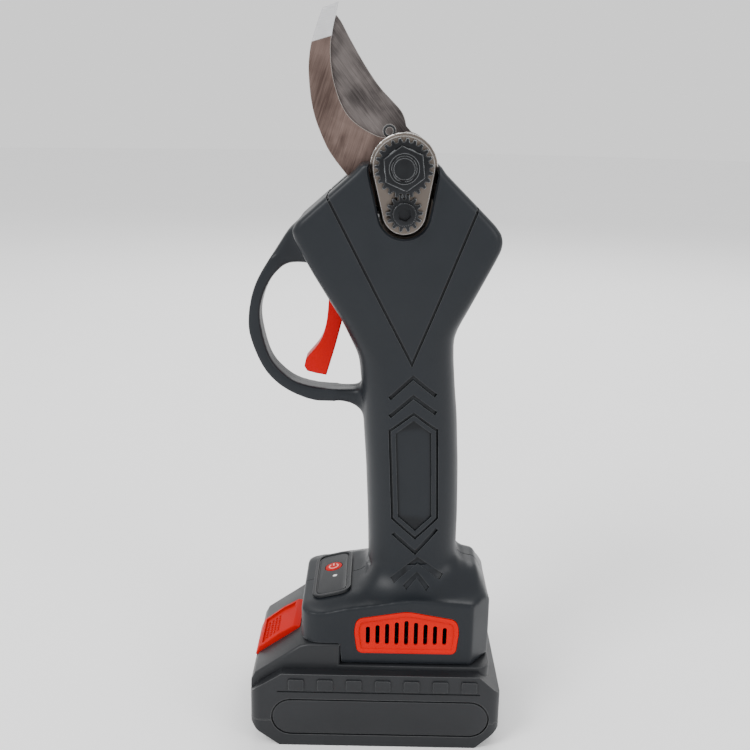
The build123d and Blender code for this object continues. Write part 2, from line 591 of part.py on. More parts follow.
def trigger():
    """The trigger: a broad finger pad on a narrower web that turns on the trigger pin."""
    body = slab(TRIGGER_PAD, -5.8, 5.8) + slab(TRIGGER_WEB, -3.6, 3.6)
    body += disc_y(*TRIGGER_PIN, 4.0, -3.6, 3.6)
    body -= disc_y(*TRIGGER_PIN, 1.5 + 0.05, -10, 10)
    return body - disc_y(-15.2, 204.0, 2.0, -1.5, 5)


def trigger_magnet():
    """The magnet in the trigger, read by the sensor board."""
    return disc_y(-15.2, 204.0, 1.98, -1.5, 3.4)


def trigger_pin():
    """The steel pin that the trigger turns on."""
    return disc_y(*TRIGGER_PIN, 1.5, -12.0, 12.0)


def trigger_pin_holders():
    """Two posts inside the shells that hold the trigger pin's ends, one for each shell."""
    posts = []
    for side in (-1, 1):
        y0, y1 = sorted((side * 8.2, side * (HEAD_HALF - 1)))
        post = disc_y(*TRIGGER_PIN, 4.2, y0, y1)
        posts.append(post - disc_y(*TRIGGER_PIN, 1.5 + 0.02, -12.1, 12.1))
    return posts


def trigger_spring():
    """The torsion spring on the trigger pin, beside the web, with its two legs."""
    coil = Part()
    for n in range(3):
        ring = Rot(90, 0, 0) * Torus(2.5, 0.4)
        coil += Pos(TRIGGER_PIN[0], 4.6 + 0.75 * n, TRIGGER_PIN[1]) * ring
    leg = Pos(TRIGGER_PIN[0] + 2.5, 6.1, TRIGGER_PIN[1] + 4.5) * Cylinder(0.4, 9.0)
    return coil + leg


def sensor_board():
    """The small board behind the trigger that reads its magnet."""
    return block(-8.3, -7.1, -5.5, 5.5, 196.0, 207.0)


def control_board():
    """The main circuit board in the lower grip."""
    return block(5.0, 26.0, -0.8, 0.8, 92.0, 130.0)


def board_parts():
    """The capacitor, the power transistors and the controller on the main board."""
    parts = [disc_z(5.0, 109.0, 125.0, x=17.0, y=6.2)]
    for n in range(3):
        parts.append(block(5.6 + 7 * n, 11.2 + 7 * n, -3.2, -0.8, 112.0, 120.0))
    parts.append(block(8.0, 15.0, 0.8, 2.4, 96.0, 103.0))
    return parts


def control_panel():
    """The oblong panel on the foot's front, with the hole of the power button and of the light."""
    rim = extrude(RectangleRounded(*PANEL_SIZE, 6.0), amount=1.0)
    inner = RectangleRounded(PANEL_SIZE[0] - 3.3, PANEL_SIZE[1] - 3.3, 3.9)
    rim += Pos(0, 0, -2.2) * extrude(inner, amount=2.3)
    rim -= Pos(0, 0, 0.5) * extrude(RectangleRounded(PANEL_SIZE[0] - 4.4, PANEL_SIZE[1] - 4.4, 4.0), amount=2)
    rim -= disc_z(4.5, -5, 5, y=7.0)
    rim -= disc_z(1.1, -5, 5, x=1.0, y=-3.0)
    return panel_place(0.3) * rim


def power_button():
    """The round power button in the control panel."""
    body = disc_z(4.2, -2.6, 1.0, y=7.0)
    body += disc_z(5.2, -3.4, -2.6, y=7.0)
    return panel_place(0.3) * body


def status_light():
    """The clear light window beside the power button."""
    return panel_place(0.3) * disc_z(1.08, -2.2, 0.7, x=1.0, y=-3.0)


def panel_board():
    """The board under the control panel."""
    return panel_place(0.3) * (Pos(0.6, 0, -5.0) * Box(11.0, 30.0, 1.2))


def vent_grille(side):
    """A slotted vent cover in the foot's side."""
    y_in, y_out = side * (FOOT_HALF - 1.3), side * (FOOT_HALF + 0.6)
    body = slab(grown(GRILLE, -0.1), *sorted((y_in, y_out)))
    body -= slab(grown(GRILLE, -2.4), *sorted((y_out - side * 0.6, y_out + side)))
    for n in range(9):
        x = -3.9 + 4.38 * n
        half = 5.7 - 0.36 * abs(n - 4)
        low = 54.7 - half
        cut = block(x - 0.95, x + 0.95, -40, 40, low + 0.95, 54.7 + half - 0.95)
        for z in (low + 0.95, 54.7 + half - 0.95):
            cut += disc_y(x, z, 0.95, -40, 40)
        body -= cut
    return body


def terminal_block():
    """The tool's contact block at the back of the foot."""
    body = block(38.8, 48.0, -17.6, 17.6, FOOT_Z + WALL, 47.6)
    for y in TERMINALS:
        body -= block(38.0, 46.1, y - 0.42, y + 0.42, 42.4, 46.6)
    return body


def terminal_blades():
    """The four contact blades of the tool."""
    return [block(26.0, 46.0, y - 0.4, y + 0.4, 42.5, 46.5) for y in TERMINALS]


def tube_path(points, radius, bend):
    """A round wire along straight runs joined by arcs."""
    path = FilletPolyline(*points, radius=bend)
    start = Plane(origin=path @ 0, z_dir=path % 0)
    return sweep(start * Circle(radius), path=path)


def wires():
    """The battery leads and the motor leads inside the housing."""
    leads = []
    for y in (-12.0, 12.0):
        points = [(42.5, y, 47.6), (42.5, y, 58.0), (20.0, y * 0.4, 74.0), (20.0, y * 0.4, 91.0)]
        leads.append(tube_path(points, 1.1, 5.0))
    for y in (-5.0, 0.0, 5.0):
        leads.append(disc_z(0.9, 130.2, 139.2, x=15.0 + y, y=-2.2))
    return leads


# ---------------------------------------------------------------- battery
BATTERY = [(-44.0, 0), (-54.5, 7.5), (-57.5, 11.0), (-57.5, 26.0), (-54.5, 29.5), (-43.0, BATTERY_SHOULDER_Z),
           (47.5, BATTERY_SHOULDER_Z), (57.5, 27.5), (57.5, 10.0), (46.5, 0)]
HUMP = [(-57.4, 26.0), (-57.4, 30.5), (-55.6, 34.0), (-41.5, 43.8), (-35.0, 48.4), (-31.0, 49.3), (-16.3, 49.3),
        (-16.3, 30.0), (-54.0, 26.0)]
BUTTON = [(-57.6, 32.2), (-56.0, 36.2), (-46.4, 43.6), (-39.0, 47.9), (-36.2, 47.9), (-36.2, 42.0),
          (-52.0, 32.2)]
SPLIT_Z = 13.0
CELL_R, CELL_LENGTH, CELL_PITCH, CELL_Z = 9.15, 64.8, 18.9, 12.4
PRESS_TRAVEL = 3.5             # the release button goes in square to its slope
PRESS_WAY = (0.6, -0.8)        # its direction, as (x, z)
LATCH_X = (-33.2, -29.6)
PACK_SCREWS = [(x, y) for x in (-50.6, 50.6) for y in (-27.0, 27.0)]
PACK_SCREW_Z = 7.5             # where the heads of the pack's screws sit


def battery_form(shrink):
    """The pack's outer form: a broad case, a deck and a raised front that meets the foot."""
    half = BATTERY_HALF - shrink
    length = BATTERY_LENGTH - 2 * shrink
    plan = Pos(0, 0, -10) * extrude(RectangleRounded(length, 2 * half, 9.0 - shrink), amount=80)
    case = slab(grown(BATTERY, -shrink), -half, half) & plan
    top = RectangleRounded(96 - 2 * shrink, 66 - 2 * shrink, 6)
    deck = Pos(4.5, 0, 30) * extrude(top, amount=DECK_Z - 30 - shrink)
    rise = slab(grown(HUMP, -shrink), -33 + shrink, 33 - shrink) & plan
    return case + deck + rise


def t_block(shrink):
    """The block on the pack's deck that slides into the foot's rails."""
    neck = block(-12 + shrink, 38 - shrink, -18 + shrink, 18 - shrink, 34, 45)
    flange = block(-12 + shrink, 38 - shrink, -22 + shrink, 22 - shrink, 44.1, 47.6 - shrink)
    return neck + flange


def ridge_blocks():
    """Seven square grip blocks along each long side of the pack."""
    blocks = Part()
    for side in (-1, 1):
        for n in range(7):
            x = -34.0 + 13.4 * n
            y0, y1 = sorted((side * (BATTERY_HALF - 1), side * (BATTERY_HALF + 0.55)))
            blocks += block(x - 3.5, x + 3.5, y0, y1, 28.6, 34.2)
    return blocks


def battery_shells():
    """The pack's two shells, lower and upper."""
    outer = battery_form(0) + t_block(0) + ridge_blocks()
    body = outer - (battery_form(2.2) + t_block(1.8))
    for part in (0.0, 0.15, 0.3, 0.45, 0.6, 0.75, 0.9, 1.05):
        push = part * PRESS_TRAVEL
        body -= Pos(PRESS_WAY[0] * push, 0, PRESS_WAY[1] * push) * slab(grown(BUTTON, GAP), -14.0, 14.0)
    body -= block(LATCH_X[0] - 3.2, LATCH_X[1] + PRESS_WAY[0] * PRESS_TRAVEL + GAP, -5.3, 5.3, 34.0, 60.0)
    for y in TERMINALS:
        body -= block(24.0, 40.0, y - 1.2, y + 1.2, 41.0, 46.9)
    lower = body & block(-90, 90, -60, 60, -1, SPLIT_Z)
    upper = body & block(-90, 90, -60, 60, SPLIT_Z, 80)
    solid_form = battery_form(0)
    for x, y in PACK_SCREWS:
        boss = solid_form & disc_z(3.0, 0, 26, x=x, y=y)
        lower += boss & block(-90, 90, -60, 60, -1, SPLIT_Z)
        lower -= disc_z(2.5, -1, PACK_SCREW_Z, x=x, y=y) + disc_z(1.45, -1, 24, x=x, y=y)
        upper += boss & block(-90, 90, -60, 60, SPLIT_Z, 80)
        upper -= disc_z(1.45, SPLIT_Z - 1, 24, x=x, y=y)
    return [max(shell.solids(), key=lambda s: s.volume) for shell in (lower, upper)]


def battery_screws():
    """Four screws from below that hold the pack's shells together."""
    screws = []
    for x, y in PACK_SCREWS:
        head = disc_z(2.4, PACK_SCREW_Z - 2.0, PACK_SCREW_Z, x=x, y=y)
        screws.append(head + disc_z(1.4, PACK_SCREW_Z - 0.1, 22.0, x=x, y=y))
    return screws


def battery_cells():
    """Five round cells side by side, lying across the pack."""
    cells = []
    for n in range(5):
        x = CELL_PITCH * (n - 2)
        cell = disc_y(x, CELL_Z, CELL_R, -CELL_LENGTH / 2, CELL_LENGTH / 2)
        cells.append(cell)
    return cells


def cell_holder():
    """The two plastic combs that hold the cells' ends."""
    frames = []
    for side in (-1, 1):
        y0, y1 = sorted((side * 24.0, side * 29.5))
        frame = block(-45.0, 45.0, y0, y1, 4.6, 22.4)
        for n in range(5):
            frame -= disc_y(CELL_PITCH * (n - 2), CELL_Z, CELL_R + 0.05, -40, 40)
        frames += frame.solids()
    return frames


def nickel_strips():
    """The strips welded across the cells' ends."""
    strips = []
    for side in (-1, 1):
        y0, y1 = sorted((side * CELL_LENGTH / 2, side * (CELL_LENGTH / 2 + 0.3)))
        for n in range(4):
            if (n % 2 == 0) == (side == 1):
                x = CELL_PITCH * (n - 2)
                strips.append(block(x - 3, x + CELL_PITCH + 3, y0, y1, CELL_Z - 3.5, CELL_Z + 3.5))
    return strips


def battery_board():
    """The pack's protection board above the cells."""
    return block(-30.0, 44.0, -22.0, 22.0, 24.6, 26.2)


def battery_contacts():
    """The spring contacts in the T-block that grip the tool's blades."""
    leaves = []
    for y in TERMINALS:
        for side in (-1, 1):
            y0, y1 = sorted((y + side * 0.75, y + side * 1.15))
            leaves.append(block(27.0, 35.0, y0, y1, 26.2, 45.9))
    return leaves


def release_button():
    """The sloping release button in the pack's raised front."""
    body = slab(BUTTON, -13.6, 13.6)
    body += block(-38.0, LATCH_X[0], -4.9, 4.9, 42.2, 44.6)
    return body


def latch_hook():
    """The catch that holds the pack in the foot, moved by the release button."""
    x0, x1 = LATCH_X
    return slab([(x0, 40.0), (x0, 52.2), (x0 + 0.8, 52.2), (x1, 50.4), (x1, 40.0)], -4.9, 4.9)


def latch_spring():
    """The coil spring under the release button."""
    coil = Part()
    low, high = 22.4, 33.4
    turns = 5
    for n in range(turns):
        z = low + 0.5 + (high - low - 1.0) * n / (turns - 1)
        coil += Pos(-44.5, 0, z) * Torus(3.0, 0.45)
    return coil.solids()


# ---------------------------------------------------------------- build
def build():
    """Builds every piece and writes its STEP file."""
    os.makedirs("parts", exist_ok=True)
    body = housing()
    posts = trigger_pin_holders()
    shells = {"left_housing": half_of(body, -1), "right_housing": half_of(body, 1)}
    save("left_housing", shells["left_housing"] + posts[0])
    save("right_housing", shells["right_housing"] + posts[1])
    single = {
        "head_bracket": head_bracket, "fixed_blade": fixed_blade, "moving_blade": moving_blade,
        "pivot_bush": pivot_bush, "pivot_bolt": pivot_bolt, "pivot_nut": pivot_nut, "lock_gear": lock_gear,
        "lock_screw": lock_screw, "bevel_wheel": bevel_wheel, "blade_pinion": blade_pinion,
        "bevel_pinion": bevel_pinion, "planet_carrier": planet_carrier, "carrier_bearing": carrier_bearing,
        "ring_gear": ring_gear, "sun_gear": sun_gear, "gearbox_plate": gearbox_plate, "motor_can": motor_can,
        "motor_stator": motor_stator, "motor_rotor": motor_rotor, "motor_shaft": motor_shaft,
        "motor_end_cap": motor_end_cap, "trigger": trigger, "trigger_magnet": trigger_magnet,
        "trigger_pin": trigger_pin, "trigger_spring": trigger_spring, "sensor_board": sensor_board,
        "control_board": control_board, "control_panel": control_panel, "power_button": power_button,
        "status_light": status_light, "panel_board": panel_board, "terminal_block": terminal_block,
        "battery_board": battery_board, "release_button": release_button, "latch_hook": latch_hook,
    }
    for name, make in single.items():
        save(name, make())
    groups = {
        "housing_screws": housing_screws, "fixed_blade_screws": fixed_blade_screws,
        "pinion_bearings": pinion_bearings, "motor_bearings": motor_bearings, "board_parts": board_parts,
        "terminal_blades": terminal_blades, "internal_wires": wires, "battery_screws": battery_screws,
        "battery_cells": battery_cells, "cell_holder": cell_holder, "nickel_strips": nickel_strips,
        "battery_contacts": battery_contacts, "latch_spring": latch_spring,
    }
    for name, make in groups.items():
        save(name, Compound(children=list(make())))
    for n in range(PLANETS):
        save(f"planet_gear_{n + 1}", planet_gear(n))
    for name, side in (("left", -1), ("right", 1)):
        save(f"{name}_vent_grille", vent_grille(side))
    lower, upper = battery_shells()
    save("battery_lower_shell", lower)
    save("battery_upper_shell", upper)


build()
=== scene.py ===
import json
import logging
import math
from contextlib import contextmanager
from dataclasses import dataclass
from enum import Enum
from typing import Callable, Iterator, Sequence

import bmesh
import bpy
from mathutils import Matrix, Vector

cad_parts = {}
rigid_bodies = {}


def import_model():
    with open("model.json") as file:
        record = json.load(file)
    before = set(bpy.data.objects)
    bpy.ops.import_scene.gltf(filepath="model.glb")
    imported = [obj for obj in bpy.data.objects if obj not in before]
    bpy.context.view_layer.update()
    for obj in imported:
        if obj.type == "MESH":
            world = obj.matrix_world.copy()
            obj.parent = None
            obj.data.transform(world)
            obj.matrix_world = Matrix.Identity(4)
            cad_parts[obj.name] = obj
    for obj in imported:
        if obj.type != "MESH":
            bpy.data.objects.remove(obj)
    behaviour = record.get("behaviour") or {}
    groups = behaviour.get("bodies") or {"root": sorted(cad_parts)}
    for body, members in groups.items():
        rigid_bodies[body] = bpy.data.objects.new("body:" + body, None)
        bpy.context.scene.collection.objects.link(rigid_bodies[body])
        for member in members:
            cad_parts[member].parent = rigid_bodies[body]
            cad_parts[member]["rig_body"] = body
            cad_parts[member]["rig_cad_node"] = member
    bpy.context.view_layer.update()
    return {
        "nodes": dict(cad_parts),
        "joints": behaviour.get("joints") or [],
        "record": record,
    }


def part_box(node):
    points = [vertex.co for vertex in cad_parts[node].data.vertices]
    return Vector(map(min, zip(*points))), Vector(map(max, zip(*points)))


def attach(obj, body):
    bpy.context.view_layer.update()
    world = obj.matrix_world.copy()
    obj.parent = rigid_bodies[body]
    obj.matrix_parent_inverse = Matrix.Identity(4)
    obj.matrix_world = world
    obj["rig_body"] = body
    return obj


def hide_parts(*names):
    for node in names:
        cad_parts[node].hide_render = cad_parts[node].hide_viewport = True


# Looks of a battery electric pruner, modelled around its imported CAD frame.
# Sizes are in millimetres in the frame of the model; Piece and Studio turn them into metres.
# +Z is up, the trigger is on -X, and -Y is the tool's left side, where the blade nut is.

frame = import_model()
LOG = logging.getLogger("pruner")
MM = 0.001

Pair = tuple[float, float]
Triple = tuple[float, float, float]
Outline = Sequence[Pair]


class Axis(Enum):
    """A direction that a rod or a plate points along."""

    X = 0
    Y = 1
    Z = 2


class Side(Enum):
    """A side of the tool, as the sign of Y."""

    LEFT = -1
    RIGHT = 1


# ------------------------------------------------------------------ outlines
def level(points: Outline, at: float) -> float:
    """Reads a line of (place, value) points between its points.

    Args:
        points: The points, in rising order of place.
        at: The place to read.

    Returns:
        The value there; past the ends, the end's value.
    """
    if at <= points[0][0]:
        return points[0][1]
    for (a, low), (b, high) in zip(points, points[1:]):
        if at <= b:
            return low + (high - low) * (at - a) / (b - a)
    return points[-1][1]


def rounded_level(points: Outline, at: float, reach: float = 3.0) -> float:
    """Reads a line of points with its corners rounded off.

    Args:
        points: The points, in rising order of place.
        at: The place to read.
        reach: How far the rounding reaches to each side.

    Returns:
        The mean value around that place.
    """
    steps = 7
    return sum(level(points, at + reach * (2 * n / (steps - 1) - 1)) for n in range(steps)) / steps


def ease(low: float, high: float, at: float) -> float:
    """Returns 0 below low, 1 above high and a smooth rise between them."""
    t = min(1.0, max(0.0, (at - low) / (high - low)))
    return t * t * (3 - 2 * t)


def arc(middle: Pair, radius: float, start: float, end: float, steps: int = 12) -> list[Pair]:
    """Makes the points of an arc.

    Args:
        middle: The arc's centre.
        radius: Its radius.
        start: Its first angle, in degrees.
        end: Its last angle, in degrees.
        steps: How many parts it is divided into.

    Returns:
        The points from start to end.
    """
    angles = [math.radians(start + (end - start) * n / steps) for n in range(steps + 1)]
    return [(middle[0] + radius * math.cos(a), middle[1] + radius * math.sin(a)) for a in angles]


def curve(points: Outline, steps: int = 6) -> list[Pair]:
    """Draws a smooth line through points.

    Args:
        points: The points that it passes through.
        steps: How many parts each span is divided into.

    Returns:
        The points of the line, with both ends.
    """
    ends = [tuple(2 * a - b for a, b in zip(points[i], points[j])) for i, j in ((0, 1), (-1, -2))]
    path = [ends[0], *points, ends[1]]
    line = []
    for a, b, c, d in zip(path, path[1:], path[2:], path[3:]):
        for n in range(steps):
            t = n / steps
            line.append(tuple(
                0.5 * (2 * q + (r - p) * t + (2 * p - 5 * q + 4 * r - s) * t * t
                       + (3 * q - p - 3 * r + s) * t ** 3)
                for p, q, r, s in zip(a, b, c, d)))
    return line + [tuple(points[-1])]


def moved_out(points: Outline, by: float) -> list[Pair]:
    """Grows a closed outline, or shrinks it where by is negative.

    Args:
        points: The outline, either way round.
        by: The distance that each side moves out.

    Returns:
        The new corners.
    """
    turn = sum(a[0] * b[1] - b[0] * a[1] for a, b in zip(points, [*points[1:], points[0]]))
    sign = 1 if turn > 0 else -1
    corners = []
    for before, at, after in zip([points[-1], *points[:-1]], points, [*points[1:], points[0]]):
        one = Vector((at[0] - before[0], at[1] - before[1])).normalized()
        two = Vector((after[0] - at[0], after[1] - at[1])).normalized()
        out = Vector((one.y + two.y, -one.x - two.x)) * sign
        shift = out * (2 * by / max(out.length_squared, 0.4))
        corners.append((at[0] + shift.x, at[1] + shift.y))
    return corners


def stroke(points: Outline, width: float) -> list[Pair]:
    """Turns a line of points into the outline of a band.

    Args:
        points: The middle line of the band.
        width: Its width.

    Returns:
        The closed outline, with square ends and pointed bends.
    """
    sides: list[list[Pair]] = [[], []]
    for n, at in enumerate(points):
        one = Vector(at) - Vector(points[n - 1]) if n else Vector(points[1]) - Vector(at)
        two = Vector(points[n + 1]) - Vector(at) if n + 1 < len(points) else one
        out = Vector((one.normalized().y + two.normalized().y, -one.normalized().x - two.normalized().x))
        shift = out * (width / max(out.length_squared, 0.5))
        sides[0].append((at[0] + shift.x, at[1] + shift.y))
        sides[1].append((at[0] - shift.x, at[1] - shift.y))
    return sides[0] + sides[1][::-1]


def toothed(middle: Pair, teeth: int, root: float, tip: float, turn: float) -> list[Pair]:
    """Draws a small gear's outline with straight-sided teeth.

    Args:
        middle: The gear's centre.
        teeth: Its number of teeth.
        root: The radius at the foot of the teeth.
        tip: The radius at their tips.
        turn: The direction of a tooth's middle, in degrees.

    Returns:
        The closed outline.
    """
    pitch = 360 / teeth
    points = []
    for n in range(teeth):
        for share, radius in ((-0.36, root), (-0.17, tip), (0.17, tip), (0.36, root)):
            angle = math.radians(turn + pitch * (n + share))
            points.append((middle[0] + radius * math.cos(angle), middle[1] + radius * math.sin(angle)))
    return points


def rounded_box_ring(low: Pair, high: Pair, radius: float, steps: int = 14) -> list[Pair]:
    """Draws a rectangle with round corners, always with the same number of points.

    Args:
        low: Its lowest corner.
        high: Its highest corner.
        radius: The radius of its corners.
        steps: The parts of each corner.

    Returns:
        The closed outline.
    """
    r = min(radius, (high[0] - low[0]) / 2 - 0.01, (high[1] - low[1]) / 2 - 0.01)
    corners = (((high[0] - r, high[1] - r), 0), ((low[0] + r, high[1] - r), 90),
               ((low[0] + r, low[1] + r), 180), ((high[0] - r, low[1] + r), 270))
    return [point for middle, start in corners for point in arc(middle, r, start, start + 90, steps)]


def node_box(node: str) -> tuple[Vector, Vector]:
    """Returns the lowest and the highest corner of a CAD node, in millimetres."""
    low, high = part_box(node)
    return low / MM, high / MM


def node_middle(node: str) -> Vector:
    """Returns the middle of a CAD node's box, in millimetres."""
    low, high = node_box(node)
    return (low + high) / 2


def joint_line(name: str) -> tuple[Vector, Vector]:
    """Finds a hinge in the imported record.

    Args:
        name: The joint's name.

    Returns:
        A point on its axis in millimetres, and the axis.
    """
    joint = next(j for j in frame["joints"] if j["name"] == name)
    return Vector(joint["pos_m"]) / MM, Vector(joint["axis"])


# ------------------------------------------------------------------ modelling
def only(obj: bpy.types.Object) -> None:
    """Selects one object alone and makes it the active one."""
    bpy.ops.object.select_all(action="DESELECT")
    obj.select_set(True)
    bpy.context.view_layer.objects.active = obj


class Piece:
    """A mesh being shaped at its own place, with the object at the world's origin."""

    def __init__(self, obj: bpy.types.Object) -> None:
        """Takes hold of an object whose place is already in its mesh."""
        self.obj = obj

    @classmethod
    def _fresh(cls) -> "Piece":
        """Takes the primitive that was just added and puts its place into its mesh.

        Returns:
            The new piece.
        """
        obj = bpy.context.object
        only(obj)
        bpy.ops.object.transform_apply(location=True, rotation=True, scale=True)
        return cls(obj)

    @classmethod
    def box(cls, low: Triple, high: Triple) -> "Piece":
        """Adds a box between two corners.

        Args:
            low: Its lowest corner.
            high: Its highest corner.

        Returns:
            The new piece.
        """
        bpy.ops.object.select_all(action="DESELECT")
        middle = [(a + b) / 2 * MM for a, b in zip(low, high)]
        size = [(b - a) * MM for a, b in zip(low, high)]
        bpy.ops.mesh.primitive_cube_add(size=1, location=middle, scale=size)
        return cls._fresh()

    @classmethod
    def rod(cls, middle: Triple, radius: float, length: float, axis: Axis = Axis.Y, sides: int = 48,
            lean: float = 0.0, tip: float | None = None, turn: float = 0.0) -> "Piece":
        """Adds a cylinder, a prism or a cone.

        Args:
            middle: The middle of its length.
            radius: Its radius.
            length: Its length along the axis.
            axis: The axis that it points along.
            sides: The number of its sides.
            lean: A turn about Y that leans it over, in degrees.
            tip: The radius of its far end, where it isn't the same.
            turn: A turn about its own axis, in degrees.

        Returns:
            The new piece.
        """
        bpy.ops.object.select_all(action="DESELECT")
        turns = {Axis.X: (0, math.pi / 2, 0), Axis.Y: (math.pi / 2, math.radians(-turn), 0),
                 Axis.Z: (0, math.radians(lean), math.radians(turn))}
        bpy.ops.mesh.primitive_cone_add(
            vertices=sides, radius1=radius * MM, radius2=(radius if tip is None else tip) * MM,
            depth=length * MM, end_fill_type="NGON", location=[v * MM for v in middle], rotation=turns[axis])
        return cls._fresh()

    @classmethod
    def plate(cls, outline: Outline, low: float, high: float, axis: Axis = Axis.Y) -> "Piece":
        """Draws an outline face and extrudes it.

        Args:
            outline: The closed outline: (x, z) points, or (x, y) points for a plate across Z.
            low: Where the plate starts along the axis.
            high: Where it ends.
            axis: The axis that it is extruded along.

        Returns:
            The new plate, with its faces outwards.
        """
        bpy.ops.object.select_all(action="DESELECT")
        bpy.ops.mesh.primitive_circle_add(vertices=len(outline), radius=MM, fill_type="NGON")
        piece = cls._fresh()
        upright = axis is Axis.Y
        for vertex, (a, b) in zip(piece.obj.data.vertices, outline):
            vertex.co = Vector((a, low, b) if upright else (a, b, low)) * MM
        travel = (high - low) * MM
        with piece.editing():
            bpy.ops.mesh.select_all(action="SELECT")
            way = (0, travel, 0) if upright else (0, 0, travel)
            bpy.ops.mesh.extrude_region_move(TRANSFORM_OT_translate={"value": way})
        return piece.outwards()

    @classmethod
    def loft(cls, rings: Sequence[Sequence[Triple]]) -> "Piece":
        """Extrudes a ring of points through more rings with the same number of points.

        Args:
            rings: The rings, from one end to the other.

        Returns:
            The closed form.
        """
        bpy.ops.object.select_all(action="DESELECT")
        bpy.ops.mesh.primitive_circle_add(vertices=len(rings[0]), radius=MM, fill_type="NGON")
        piece = cls._fresh()
        for vertex, point in zip(piece.obj.data.vertices, rings[0]):
            vertex.co = Vector(point) * MM
        with piece.editing():
            bpy.ops.mesh.select_all(action="SELECT")
            last = {n: n for n in range(len(rings[0]))}
            for ring in rings[1:]:
                bpy.ops.mesh.extrude_region_move()
                mesh = bmesh.from_edit_mesh(piece.obj.data)
                mesh.verts.ensure_lookup_table()
                fresh = {}
                for vertex in [v for v in mesh.verts if v.select]:
                    ties = [e.other_vert(vertex).index for e in vertex.link_edges]
                    place = next(last[n] for n in ties if n in last)
                    vertex.co = Vector(ring[place]) * MM
                    fresh[vertex.index] = place
                last = fresh
                bmesh.update_edit_mesh(piece.obj.data)
        return piece.outwards()

    @classmethod
    def of_node(cls, node: str) -> "Piece":
        """Copies a CAD node's mesh and merges its loose triangles.

        Args:
            node: The node's name.

        Returns:
            The copy, as a piece of its own.
        """
        obj = frame["nodes"][node].copy()
        obj.data = obj.data.copy()
        obj.parent = None
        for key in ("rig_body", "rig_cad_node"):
            del obj[key]
        bpy.context.scene.collection.objects.link(obj)
        piece = cls(obj)
        with piece.editing():
            bpy.ops.mesh.select_all(action="SELECT")
            bpy.ops.mesh.remove_doubles(threshold=0.002 * MM)
        return piece

    @contextmanager
    def editing(self) -> Iterator[bmesh.types.BMesh]:
        """Opens edit mode with nothing selected, and closes it again.

        Yields:
            The mesh that is edited.
        """
        only(self.obj)
        bpy.ops.object.mode_set(mode="EDIT")
        bpy.ops.mesh.select_mode(type="VERT")
        bpy.ops.mesh.select_all(action="DESELECT")
        yield bmesh.from_edit_mesh(self.obj.data)
        bpy.ops.object.mode_set(mode="OBJECT")

    def copy(self) -> "Piece":
        """Makes a copy with its own mesh.

        Returns:
            The copy.
        """
        obj = self.obj.copy()
        obj.data = self.obj.data.copy()
        bpy.context.scene.collection.objects.link(obj)
        return Piece(obj)

    def outwards(self) -> "Piece":
        """Turns all faces outwards.

        Returns:
            The piece.
        """
        with self.editing():
            bpy.ops.mesh.select_all(action="SELECT")
            bpy.ops.mesh.normals_make_consistent(inside=False)
        return self

    def shifted(self, by: Triple) -> "Piece":
        """Moves the mesh.

        Args:
            by: How far, along X, Y and Z.

        Returns:
            The piece.
        """
        with self.editing():
            bpy.ops.mesh.select_all(action="SELECT")
            bpy.ops.transform.translate(value=[v * MM for v in by])
        return self

    def join(self, others: Sequence["Piece"]) -> "Piece":
        """Puts separate pieces into this one's object.

        Args:
            others: The pieces, which are used up.

        Returns:
            The piece.
        """
        only(self.obj)
        for other in others:
            other.obj.select_set(True)
        bpy.ops.object.join()
        return self

    def across(self) -> "Piece":
        """Makes the piece of the other side, mirrored through the middle plane.

        Returns:
            The mirrored copy.
        """
        other = self.copy()
        with other.editing():
            bpy.ops.mesh.select_all(action="SELECT")
            bpy.ops.transform.resize(value=(1, -1, 1), center_override=(0, 0, 0))
        return other.outwards()

    def tilted(self, degrees: float, about: Triple) -> "Piece":
        """Turns the mesh about a line along Y; a positive turn lowers its -X end.

        Args:
            degrees: The turn.
            about: A point on the line.

        Returns:
            The piece.
        """
        with self.editing():
            bpy.ops.mesh.select_all(action="SELECT")
            bpy.ops.transform.rotate(value=math.radians(degrees), orient_axis="Y",
                                     center_override=[v * MM for v in about])
        return self

    def bevel(self, width: float, segments: int = 3, sharp: float = 30.0,
              test: Callable[[Vector, Vector], bool] | None = None) -> "Piece":
        """Rounds edges.

        Args:
            width: The width that is taken from each side of an edge.
            segments: The number of faces across the round.
            sharp: The least angle of the edges that are taken, in degrees.
            test: Takes an edge's middle and its direction, and says whether it is rounded.

        Returns:
            The piece.
        """
        with self.editing() as mesh:
            bpy.ops.mesh.select_mode(type="EDGE")
            for edge in mesh.edges:
                a, b = (v.co for v in edge.verts)
                middle, way = (a + b) / (2 * MM), (b - a).normalized()
                turn = math.degrees(edge.calc_face_angle(0.0))
                edge.select_set(turn > sharp and (test is None or test(middle, way)))
            bmesh.update_edit_mesh(self.obj.data)
            bpy.ops.mesh.bevel(offset=width * MM, segments=segments, affect="EDGES", clamp_overlap=True)
        return self

    def _pick_faces(self, mesh: bmesh.types.BMesh, test: Callable[[Vector, Vector], bool]) -> None:
        """Selects the faces whose middle and normal pass the test.

        Args:
            mesh: The mesh that is edited.
            test: Takes a face's middle and its normal, and says whether it is taken.
        """
        bpy.ops.mesh.select_mode(type="FACE")
        for face in mesh.faces:
            face.select_set(test(face.calc_center_median() / MM, face.normal))
        bmesh.update_edit_mesh(self.obj.data)

    def sink(self, margin: float, depth: float, test: Callable[[Vector, Vector], bool]) -> "Piece":
        """Insets faces and moves the inner part in.

        Args:
            margin: The width of the border that stays.
            depth: How far the inner part goes in; a negative depth raises it.
            test: Takes a face's middle and its normal, and says whether it is taken.

        Returns:
            The piece.
        """
        with self.editing() as mesh:
            self._pick_faces(mesh, test)
            bpy.ops.mesh.inset(thickness=margin * MM, depth=0)
            bpy.ops.mesh.inset(thickness=0.12 * MM, depth=-depth * MM)
        return self

